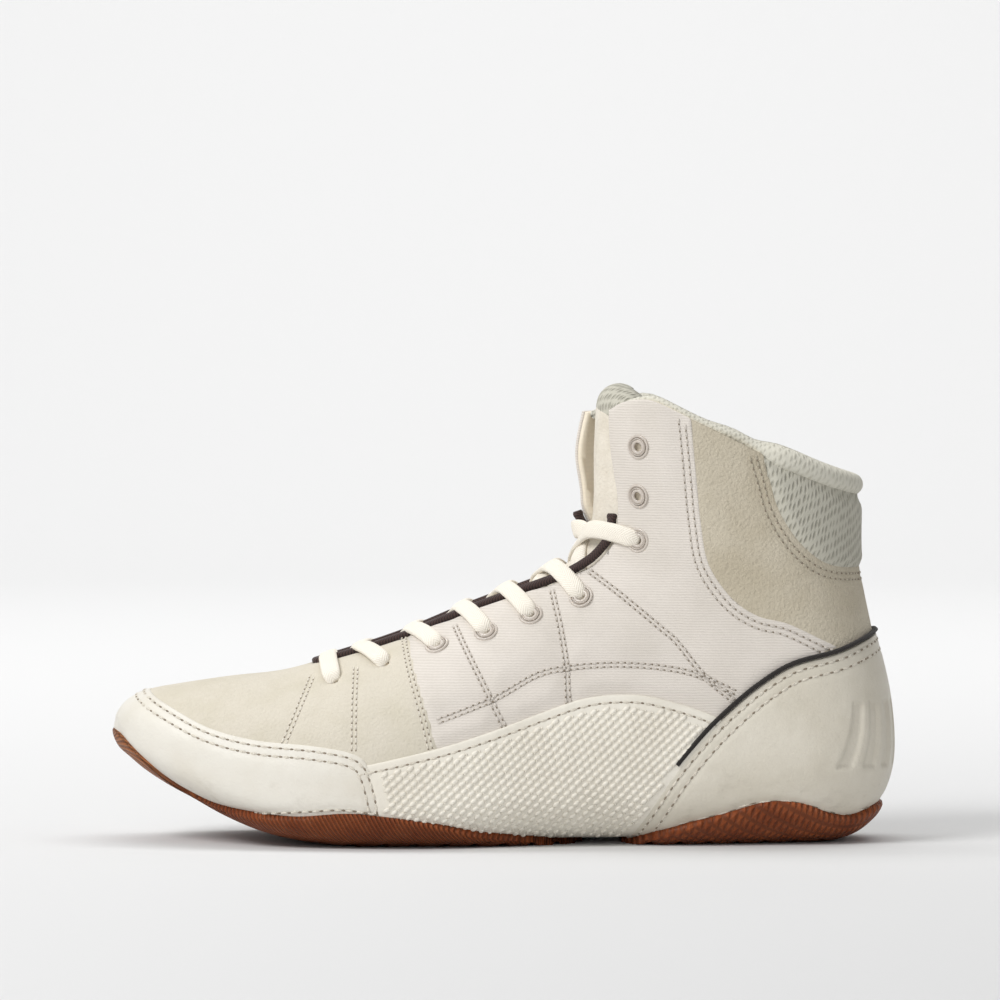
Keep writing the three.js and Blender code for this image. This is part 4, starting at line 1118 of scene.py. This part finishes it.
def slanted_spots(shift):
    """Spots in slanted rows over a side panel, in side view, clear of its seams."""
    pitch, row_pitch, slant = 2.75, 2.3, math.radians(-16)
    i, j = [grid.ravel() for grid in np.meshgrid(np.arange(-10, 70), np.arange(-25, 45))]
    run = pitch * (i + 0.5 * (j % 2) + shift)
    rise = row_pitch * (j + shift)
    x = 85.0 + run * math.cos(slant) - rise * math.sin(slant)
    z = run * math.sin(slant) + rise * math.cos(slant)
    spots = np.stack([x, z], -1)
    room = np.min([-distance_left(spots, panel_line) - 4.6, distance_left(spots, guard_line) - 1.6,
                   distance_left(spots, counter_line) - 1.2, distance_left(spots, gum_front) - 1.0,
                   spots[:, 1] - 4.8], axis=0)
    return spots[room > 0]


def embossed_pips(name, shift, size, detail, side):
    spots = slanted_spots(shift)
    lies, station, angle = on_side(spots, side)
    ahead = on_side(spots + [0.5, 0.35], side)
    lies &= ahead[0]
    station, angle = station[lies], angle[lies]
    along = skin(ahead[1][lies], ahead[2][lies]) - skin(station, angle)
    ups = normal_at(station, angle)
    points = skin(station, angle) + 1.5 * ups
    inputs = {"Size": [0.001 * length for length in size], "Detail": detail, "Material": embossed}
    return made_by_tree(name, points, [], {"up": ups, "along": along}, pips, inputs)


pips = pip_tree()
for side, sign in (("lateral", 1), ("medial", -1)):
    embossed_pips(f"leaf_pips_{side}", 0.0, (3.1, 1.75, 1.25), 2, sign)
    embossed_pips(f"fine_dots_{side}", 0.5, (0.85, 0.85, 0.9), 1, sign)


# Piping: a dark cord let into the counter's edge; binding: dark tape folded over the throat
def swept(name, centres, across, half_width, half_height, material, sides=16, power=1.0, wrapped=False):
    """A closed tube of oval section along a path, with the direction of its width."""
    centres, across = np.asarray(centres), np.asarray(across)
    along = np.gradient(centres, axis=0)
    along /= np.linalg.norm(along, axis=1, keepdims=True)
    up = np.cross(across, along)
    up /= np.linalg.norm(up, axis=1, keepdims=True)
    wide = np.cross(along, up)
    turn = np.linspace(0, 2 * math.pi, sides, endpoint=False)
    c, s_ = np.cos(turn), np.sin(turn)
    c = np.sign(c) * np.abs(c) ** power
    s_ = np.sign(s_) * np.abs(s_) ** power
    half_width = np.broadcast_to(half_width, len(centres))[:, None, None]
    half_height = np.broadcast_to(half_height, len(centres))[:, None, None]
    points = (centres[:, None] + wide[:, None] * c[None, :, None] * half_width
              + up[:, None] * s_[None, :, None] * half_height)
    run = np.concatenate([[0], np.cumsum(np.linalg.norm(np.diff(centres, axis=0), axis=1))])
    uv = np.stack([np.broadcast_to(c * float(np.max(half_width)), points.shape[:2]),
                   np.broadcast_to(run[:, None], points.shape[:2])], -1)
    if wrapped:
        uv = np.stack([uv[..., 1], np.broadcast_to(turn * 4.0, points.shape[:2])], -1)
    faces = []
    for ring in range(len(centres) - 1):
        for k in range(sides):
            a, b = ring * sides + k, ring * sides + (k + 1) % sides
            faces.append((a, b, b + sides, a + sides))
    faces.append(tuple(range(sides))[::-1])
    faces.append(tuple(range((len(centres) - 1) * sides, len(centres) * sides)))
    return mesh_object(name, points.reshape(-1, 3), faces, material, None, uv.reshape(-1, 2))


def woven_tape(name, colour, shade, pitch=1.0, lean=0.8, rough=0.85, depth=0.15):
    """Narrow woven goods: herringbone ribs that lean either way from the middle, painted darker in the furrows between
    them as shade.
    """
    material, tree, surface, place = new_surface(name, rough, Sheen_Weight=0.1)
    uv = add(tree, "ShaderNodeUVMap", {"uv_map": "surface_mm"}).outputs[0]
    part = add(tree, "ShaderNodeSeparateXYZ", {}, {0: uv}).outputs
    out = maths(tree, "ABSOLUTE", part[0])
    run = maths(tree, "MULTIPLY_ADD", out, lean, part[1])
    rib = maths(tree, "SINE", maths(tree, "MULTIPLY", run, 2 * math.pi / pitch))
    cross = maths(tree, "SINE", maths(tree, "MULTIPLY", part[0], 2 * math.pi / 0.7))
    weave = maths(tree, "MULTIPLY_ADD", cross, 0.3, rib)
    share = ramp(tree, weave, -1.1, 0.8)
    # The furrows between the ribs take the darker colour: painted shade.
    tree.links.new(blend_colours(tree, share, linear(shade), linear(colour)), surface.inputs["Base Color"])
    bump(tree, surface, [(share, depth)])
    return material


dark_tape = woven_tape("binding_tape", "#47332f", "#2a1f1d", 1.1)
cord_cloth = woven_tape("piping_cord", "#2b2623", "#191614", 0.9, 1.2)
lace_weave = woven_tape("lace_weave", "#f6f0e4", "#ebe3d4", 1.0, 0.9, 0.8, 0.1)

piping_line = counter_line[counter_line[:, 1] >= 0.165 * SHAFT_HEIGHT]
lies, station, angle = on_side(beside(piping_line, 1.15))
station, angle = station[lies], angle[lies]
# The cord crosses the heel at the height where its two halves meet.
rear = np.linspace(0, 1, 12)[1:-1]
PIPING_RISE = 1.5
half = [skin(a, b) + PIPING_RISE * normal_at(a, b) for a, b in zip(station, angle)]
ups = [normal_at(a, b) for a, b in zip(station, angle)]
other = [skin(a, -b) + PIPING_RISE * normal_at(a, -b) for a, b in zip(station, angle)][::-1]
other_ups = [normal_at(a, -b) for a, b in zip(station, angle)][::-1]
bridge_angles = np.linspace(angle[-1], -2 * math.pi - angle[-1], 14)[1:-1]
bridge = [skin(station[-1], b) + PIPING_RISE * normal_at(station[-1], b) for b in bridge_angles]
bridge_ups = [normal_at(station[-1], b) for b in bridge_angles]
path = np.array(half + bridge + other)
ups = np.array(ups + bridge_ups + other_ups)
wide = np.cross(np.gradient(path, axis=0), ups)
piping = swept("piping_cord", path, wide, 0.85, 1.0, cord_cloth, 10)
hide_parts("counter_piping")

end_station = np.interp(0.79 * SHAFT_HEIGHT, sections[13:, 3], np.arange(13, LAST_STATION + 1))
leg = np.linspace(end_station, 6.6, 70)
leg_reach = half_gap_at(leg) - 1.6
nose = np.linspace(math.pi / 2, -math.pi / 2, 9)[1:-1]
stations_round = np.concatenate([leg, 6.6 - 0.09 * np.cos(nose), leg[::-1]])
reach_round = np.concatenate([leg_reach, leg_reach[-1] * np.sin(nose), -leg_reach[::-1]])
angles_round = angle_of_reach(stations_round, reach_round)
path = skin(stations_round, angles_round) + 0.9 * normal_at(stations_round, angles_round)
wide = np.cross(np.gradient(path, axis=0), normal_at(stations_round, angles_round))
width = np.full(len(path), 1.5)
width[[0, 1, 2, -3, -2, -1]] = [1.2, 1.9, 1.9, 1.9, 1.9, 1.2]
binding = swept("throat_tape", path, wide, width, 1.5, dark_tape, 16, 0.7)
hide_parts("throat_binding")


# Collar cuff: knit over foam, with a stuffed roll along its top that runs on inside the collar
def knit_cloth(name, pale, slit_shade, turn, depth):
    material, tree, surface, place = new_surface(name, 0.95, Sheen_Weight=0.05)
    surface.inputs["Specular IOR Level"].default_value = 0.15
    uv = add(tree, "ShaderNodeUVMap", {"uv_map": "surface_mm"}).outputs[0]
    turned = add(tree, "ShaderNodeMapping", {}, {"Vector": uv, "Rotation": (0, 0, math.radians(turn)),
                                                 "Scale": (1 / 1.5, 1 / 4.2, 1)})
    cell = add(tree, "ShaderNodeTexVoronoi", {"feature": "SMOOTH_F1"},
               {"Vector": turned.outputs[0], "Scale": 1.0, "Randomness": 0.25, "Smoothness": 0.25})
    hole = ramp(tree, cell.outputs["Distance"], 0.1, 0.5)
    # The knit's openings take the darker colour: painted shade.
    tree.links.new(blend_colours(tree, hole, linear(slit_shade), linear(pale)), surface.inputs["Base Color"])
    bump(tree, surface, [(hole, depth), (noise(tree, place, 0.6), 0.08)])
    return material


knit = knit_cloth("cuff_knit", "#c2bfb2", "#a8a597", 12, 0.4)
roll_knit = knit_cloth("roll_knit", "#d6d3c6", "#c6c3b5", 60, 0.22)
roll_line = side_line([[0.826, 0.868], [0.870, 0.840], [0.909, 0.812], [0.951, 0.789], [1.030, 0.755]])


def cuff_height(station, share, points, distance):
    seam = distance_left(points, beside(roll_line, -3.6))
    return -0.3 + 2.0 * smooth(distance, 0.0, 5.0) - 0.9 * np.exp(-(seam / 1.8) ** 2)


def cuff_inside(station, share, points):
    return np.minimum(distance_left(points, cuff_line) + 2.0, -distance_left(points, roll_line))


cuff = laid_panel("cuff_pad", knit, cuff_inside, cuff_height, (14.0, 23.2), base=-5.5)
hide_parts("collar_cuff")


def station_where(angle, line):
    """Station at which the skin at an angle meets a side-view line."""
    low, high = 14.0, LAST_STATION + 0.3
    for _ in range(30):
        middle = (low + high) / 2
        point = skin(middle, angle)
        if distance_left(point[None, :], line)[0] < 0:
            low = middle
        else:
            high = middle
    return low


rim_line = np.vstack([collar_line[collar_line[:, 0] < 0.80 * SHOE_LENGTH], roll_line])
roll_angles = np.linspace(0.13 * math.pi, 1.87 * math.pi, 90)
roll_stations = np.array([station_where(a, rim_line) for a in roll_angles])
normals = normal_at(roll_stations, roll_angles)
bare = skin(roll_stations, roll_angles)
back = smooth(bare[:, 0], 0.805 * SHOE_LENGTH, 0.86 * SHOE_LENGTH)
path = bare + normals * (-4.6 + 2.6 * back)[:, None]
path[:, 2] += -0.4 + 2.3 * smooth(bare[:, 0], 0.75 * SHOE_LENGTH, 0.81 * SHOE_LENGTH)
radius = 1.9 + 2.1 * back
radius[:2], radius[-2:] = [0.6, 1.3], [1.3, 0.6]
wide = np.cross(np.gradient(path, axis=0), normals)
roll = swept("cuff_roll", path, wide, radius, radius, roll_knit, 20, wrapped=True)


# Tongue: a padded sheet under the flaps; its thick top edge rolls back over itself
def tongue_piece():
    station_top = 20.7
    rows, reach_limit = [], 29.0
    stations = np.concatenate([np.linspace(5.9, 12.5, 36), np.linspace(12.6, station_top, 46)])
    bends = np.linspace(0, 2.3, 16)[1:]
    columns = np.linspace(-1, 1, 41)
    outer, inner = [], []
    for step in range(len(stations) + len(bends)):
        station = stations[min(step, len(stations) - 1)]
        bend = 0.0 if step < len(stations) else bends[step - len(stations)]
        side = columns * reach_limit * (1 - 0.14 * smooth(station, 18.5, 21.3))
        sunk = station - 1.2 * columns ** 2 * smooth(station, 17.0, station_top)
        angle = angle_of_reach(sunk, side)
        normal = normal_at(sunk, angle, False)
        room = angle_of_reach(station, half_gap_at(station) - 3.0)
        middle = 1 - smooth(np.abs(angle), 0.35 * room, 0.95 * room)
        puff = 2.6 * middle * smooth(section_at(station)[3] / SHAFT_HEIGHT, 0.64, 0.76)
        swell = smooth(station, 14, 20)
        thickness = 3.0 + 2.4 * swell
        side_thin = 1 - 0.55 * np.abs(columns) ** 6
        top = -3.25 + puff
        lift = np.array([0.0, 0.0, 1.0])
        along = lift - normal * (normal @ lift)[:, None]
        along /= np.linalg.norm(along, axis=1, keepdims=True)
        radius = 5.6
        centre = skin(sunk, angle, False) + normal * (top - thickness / 2)[:, None]
        centre = centre + radius * (math.sin(bend) * along - (1 - math.cos(bend)) * normal)
        facing = math.cos(bend) * normal + math.sin(bend) * along
        close = 0.35 if step in (0, len(stations) + len(bends) - 1) else 1.0
        half = (thickness / 2 * side_thin * close)[:, None]
        outer.append(centre + facing * half)
        inner.append(centre - facing * half)
    outer, inner = np.array(outer), np.array(inner)
    count_i, count_j = outer.shape[:2]
    grid = np.arange(count_i * count_j).reshape(count_i, count_j)
    under = grid + count_i * count_j
    faces = []
    for i in range(count_i - 1):
        for j in range(count_j - 1):
            faces.append((grid[i, j], grid[i + 1, j], grid[i + 1, j + 1], grid[i, j + 1]))
            faces.append((under[i, j], under[i, j + 1], under[i + 1, j + 1], under[i + 1, j]))
        faces.append((grid[i + 1, 0], grid[i, 0], under[i, 0], under[i + 1, 0]))
        faces.append((grid[i, -1], grid[i + 1, -1], under[i + 1, -1], under[i, -1]))
    for j in range(count_j - 1):
        faces.append((grid[0, j], grid[0, j + 1], under[0, j + 1], under[0, j]))
        faces.append((grid[-1, j + 1], grid[-1, j], under[-1, j], under[-1, j + 1]))
    points = np.vstack([outer.reshape(-1, 3), inner.reshape(-1, 3)])
    run = np.concatenate([[0], np.cumsum(np.linalg.norm(np.diff(outer[:, 20], axis=0), axis=1))])
    uv = np.stack(np.broadcast_arrays(columns[None, :] * reach_limit, run[:, None]), -1).reshape(-1, 2)
    uv = np.vstack([uv, uv])
    piece = mesh_object("tongue_pad", points, [tuple(int(v) for v in face) for face in faces],
                        tongue_cloth, None, uv)
    # The knit lining turns over the crest and covers the tongue's inner face.
    piece.data.materials.append(knit)
    crest = grid[len(stations) - 2, 0]
    for face in piece.data.polygons:
        low = min(face.vertices)
        if low >= crest:
            face.material_index = 1
    return piece


tongue_cloth = napped_hide("tongue_nubuck", "#e6dfd2", "#dad2c3", "#b9ad9a", nap=0.6, depth=0.05)
tongue = tongue_piece()
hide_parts("tongue")


# Eyelets: pale plastic rings pressed into the flaps; the first two pairs are bare holes
def ring_tree():
    tree = bpy.data.node_groups.new("rings_on_flaps", "GeometryNodeTree")
    tree.interface.new_socket("Geometry", in_out="INPUT", socket_type="NodeSocketGeometry")
    tree.interface.new_socket("Material", in_out="INPUT", socket_type="NodeSocketMaterial")
    tree.interface.new_socket("Geometry", in_out="OUTPUT", socket_type="NodeSocketGeometry")
    given = tree.nodes.new("NodeGroupInput").outputs
    joined = add(tree, "GeometryNodeJoinGeometry")
    for radius, wide, high, lift in ((3.95, 0.5, 0.5, 0.35), (3.0, 1.0, 0.25, 0.2), (2.15, 0.65, 0.7, 0.35)):
        circle = add(tree, "GeometryNodeCurvePrimitiveCircle", {}, {"Resolution": 40, "Radius": radius * 0.001})
        profile = add(tree, "GeometryNodeCurvePrimitiveCircle", {}, {"Resolution": 10, "Radius": 0.001})
        oval = add(tree, "GeometryNodeTransform", {}, {"Geometry": profile.outputs[0],
                                                       "Scale": (high, wide, 1.0)})
        tube = add(tree, "GeometryNodeCurveToMesh", {}, {0: circle.outputs[0], 1: oval.outputs[0]})
        raised = add(tree, "GeometryNodeTransform", {}, {"Geometry": tube.outputs[0],
                                                         "Translation": (0, 0, lift * 0.001)})
        tree.links.new(raised.outputs[0], joined.inputs[0])
    up = add(tree, "GeometryNodeInputNamedAttribute", {"data_type": "FLOAT_VECTOR"}, {"Name": "up"})
    turn = add(tree, "FunctionNodeAlignRotationToVector", {"axis": "Z"}, {"Vector": up.outputs[0]})
    spots = add(tree, "GeometryNodeMeshToPoints", {}, {"Mesh": given["Geometry"]})
    set_out = add(tree, "GeometryNodeInstanceOnPoints", {}, {
        "Points": spots.outputs[0], "Instance": joined.outputs[0], "Rotation": turn.outputs[0]})
    real = add(tree, "GeometryNodeRealizeInstances", {}, {0: set_out.outputs[0]})
    smoothed = add(tree, "GeometryNodeSetShadeSmooth", {}, {0: real.outputs[0]})
    coated = add(tree, "GeometryNodeSetMaterial", {}, {"Geometry": smoothed.outputs[0],
                                                       "Material": given["Material"]})
    add(tree, "NodeGroupOutput", {}, {0: coated.outputs[0]})
    return tree


ring_plastic, tree, surface, place = new_surface("eyelet_plastic", 0.35, Coat_Weight=0.3)
surface.inputs["Base Color"].default_value = linear("#ddd3c8")
surface.inputs["Transmission Weight"].default_value = 0.25
bump(tree, surface, [(noise(tree, place, 1.5), 0.03)])
FIRST_RING = 2
spots = [(station, side * angle) for station, angle in eyelets[FIRST_RING:] for side in (-1, 1)]
ring_points = [skin(a, b) + 0.95 * normal_at(a, b) for a, b in spots]
rings = made_by_tree("eyelet_rings", np.array(ring_points), [], {"up": [normal_at(a, b) for a, b in spots]},
                     ring_tree(), {"Material": ring_plastic})
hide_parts(*[f"eyelet_ring_{side}_{k + 1}" for k in range(FIRST_RING, 9)
                     for side in ("lateral", "medial")])


# Lace: one flat woven lace. It comes up through each eyelet, crosses over its own flap and the
# tongue, and dives under the other flap to the next eyelet down; at the toe end it lies straight
# across. Its ends stop inside, under the top laced pair.
LACED_PAIRS = 7
LACE_HALF_WIDTH = 3.4
LACE_HALF_THICKNESS = 1.15


def reach_of(place):
    station, angle = eyelets[place]
    row = section_at(station)
    return row[4] * math.sin(angle) ** (2 / row[8])


def lace_station(reach, target, start, way):
    """Station at which the skin at that reach has come so far along the throat."""
    low, high = np.full(reach.shape, 6.46), np.full(reach.shape, 18.0)
    for _ in range(35):
        middle = (low + high) / 2
        come = (skin(middle, angle_of_reach(middle, reach), False) - start) @ way
        low = np.where(come < target, middle, low)
        high = np.where(come < target, high, middle)
    return low


def lace_run(start, end, side, rise_in_middle):
    """Rows (centre, normal, half width, half thickness) from one eyelet to another."""
    over_both = start == end
    share = np.concatenate([[0.0, 0.03, 0.07], np.linspace(0.12, 0.88, 17), [0.93, 0.97, 1.0]])
    reach = side * ((1 - share) * reach_of(start) - share * reach_of(end))
    total = reach_of(start) + reach_of(end)
    lower, higher = [skin(*eyelets[place], False) for place in (end, start)]
    way = (higher - lower) * [1, 0, 1] if not over_both else np.array([1.0, 0.0, 0.3])
    way = way / np.linalg.norm(way)
    target = (1 - share) * ((higher - lower) @ way)
    station = lace_station(reach, target, lower, way)
    angle = angle_of_reach(station, reach)
    normal = normal_at(station, angle)
    gap = half_gap_at(station)
    outward = np.abs(reach) if over_both else side * reach
    over = smooth(outward, -0.15 * gap, 0.75 * gap)
    under = 0.0 * over if over_both else smooth(-outward, 0.35 * gap, 0.95 * gap)
    level = 2.3 * over + (rise_in_middle * (1 - under) - 1.5) * (1 - over)
    level = level * (1 - under) - 2.85 * under
    taper = smooth(np.minimum(share, 1 - share) * total, -1.2, 1.4)
    level -= 2.4 * (1 - smooth(share * total, -0.2, 1.7))
    level += (-2.4 if over_both else 0.9) * (1 - smooth((1 - share) * total, -0.2, 1.7))
    wide = 1.6 + (LACE_HALF_WIDTH - 1.6) * taper
    thick = (1.2 + (LACE_HALF_THICKNESS - 1.2) * taper) * (1 - 0.55 * under)
    return list(zip(skin(station, angle) + level[:, None] * normal, normal, wide, thick))


rows = []
side = -1
station, angle = eyelets[LACED_PAIRS - 1]
chain = [(k, k - 1) for k in range(LACED_PAIRS - 1, 0, -1)]
for start, end in chain:
    rows += lace_run(start, end, side, 0.7 if side < 0 else -0.6)
    side = -side
rows += lace_run(0, 0, side, 0.5)
back_rows = []
side = 1
for start, end in chain:
    back_rows += lace_run(start, end, side, 0.7 if side < 0 else -0.6)
    side = -side
rows += back_rows[::-1]
centres = np.array([row[0] for row in rows])
normals = np.array([row[1] for row in rows])
keep = np.concatenate([[True], np.linalg.norm(np.diff(centres, axis=0), axis=1) > 0.3])
centres, normals = centres[keep], normals[keep]
widths = np.array([row[2] for row in rows])[keep]
depths = np.array([row[3] for row in rows])[keep]
run = np.concatenate([[0], np.cumsum(np.linalg.norm(np.diff(centres, axis=0), axis=1))])
fine = np.linspace(0, run[-1], int(run[-1] / 1.0))


def eased(values, passes=2):
    """Values at even steps along the lace, with their corners rounded."""
    even = np.stack([np.interp(fine, run, column) for column in values.reshape(len(values), -1).T], -1)
    for _ in range(passes):
        even[1:-1] = 0.25 * even[:-2] + 0.5 * even[1:-1] + 0.25 * even[2:]
    return even


centres, normals = eased(centres), eased(normals, 4)
widths, depths = eased(widths)[:, 0], eased(depths)[:, 0]
along = np.gradient(centres, axis=0)
level_along = along - normals * np.sum(along * normals, axis=1, keepdims=True)
across = np.cross(level_along, normals)
lace = swept("lace", centres, across, widths, depths, lace_weave, 16, 0.75)
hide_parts("lace_bar_1", *[f"lace_crossing_{k}" for k in range(1, LACED_PAIRS)])


# Studio: a pale floor that runs up into a pale wall, and soft light from the upper left front
def studio():
    rows = [(-3.0, 0.0)]
    rows += [(2.0 + 1.5 * math.sin(t), 1.5 - 1.5 * math.cos(t)) for t in np.linspace(0, math.pi / 2, 24)]
    rows += [(3.5, 6.0)]
    points = [(x, y, z) for y, z in rows for x in (-6.0, 6.0)]
    faces = [(2 * k, 2 * k + 1, 2 * k + 3, 2 * k + 2) for k in range(len(rows) - 1)]
    mesh = bpy.data.meshes.new("studio_floor")
    mesh.from_pydata(points, [], faces)
    mesh.polygons.foreach_set("use_smooth", [True] * len(mesh.polygons))
    material, tree, surface, place = new_surface("studio_paper", 0.9)
    surface.inputs["Base Color"].default_value = linear("#dddddd")
    surface.inputs["Specular IOR Level"].default_value = 0.1
    mesh.materials.append(material)
    floor = bpy.data.objects.new("studio_floor", mesh)
    bpy.context.collection.objects.link(floor)


def lamp(name, size, energy, place, aim=(0, 0, 0.07)):
    data = bpy.data.lights.new(name, "AREA")
    data.shape = "RECTANGLE"
    data.size, data.size_y = size
    data.energy = energy
    light = bpy.data.objects.new(name, data)
    light.location = place
    light.rotation_euler = (Vector(aim) - Vector(place)).to_track_quat("-Z", "Y").to_euler()
    bpy.context.collection.objects.link(light)


studio()
lamp("key", (0.9, 0.9), 26.0, (-1.15, -1.05, 1.45))
lamp("front", (1.4, 1.4), 10.5, (-0.45, -2.2, 0.9))
lamp("back_wall", (3.0, 2.0), 84.0, (0.0, 0.9, 2.6), (0, 3.2, 0.6))
world = bpy.data.worlds.new("studio_world")
world.use_nodes = True
world.node_tree.nodes["Background"].inputs["Color"].default_value = (1, 1, 1, 1)
world.node_tree.nodes["Background"].inputs["Strength"].default_value = 0.3
bpy.context.scene.world = world
bpy.context.scene.view_settings.view_transform = "Standard"

camera_data = bpy.data.cameras.new("photo_camera")
camera_data.lens = 247.0
camera_data.sensor_width = 36.0
camera_data.clip_end = 30.0
camera = bpy.data.objects.new("photo_camera", camera_data)
elevation = math.radians(2.0)
aim = Vector((-0.0013, 0.0, 0.1238))
camera.location = aim + 2.5 * Vector((0.0, -math.cos(elevation), math.sin(elevation)))
camera.rotation_euler = (aim - camera.location).to_track_quat("-Z", "Y").to_euler()
bpy.context.collection.objects.link(camera)
bpy.context.scene.camera = camera
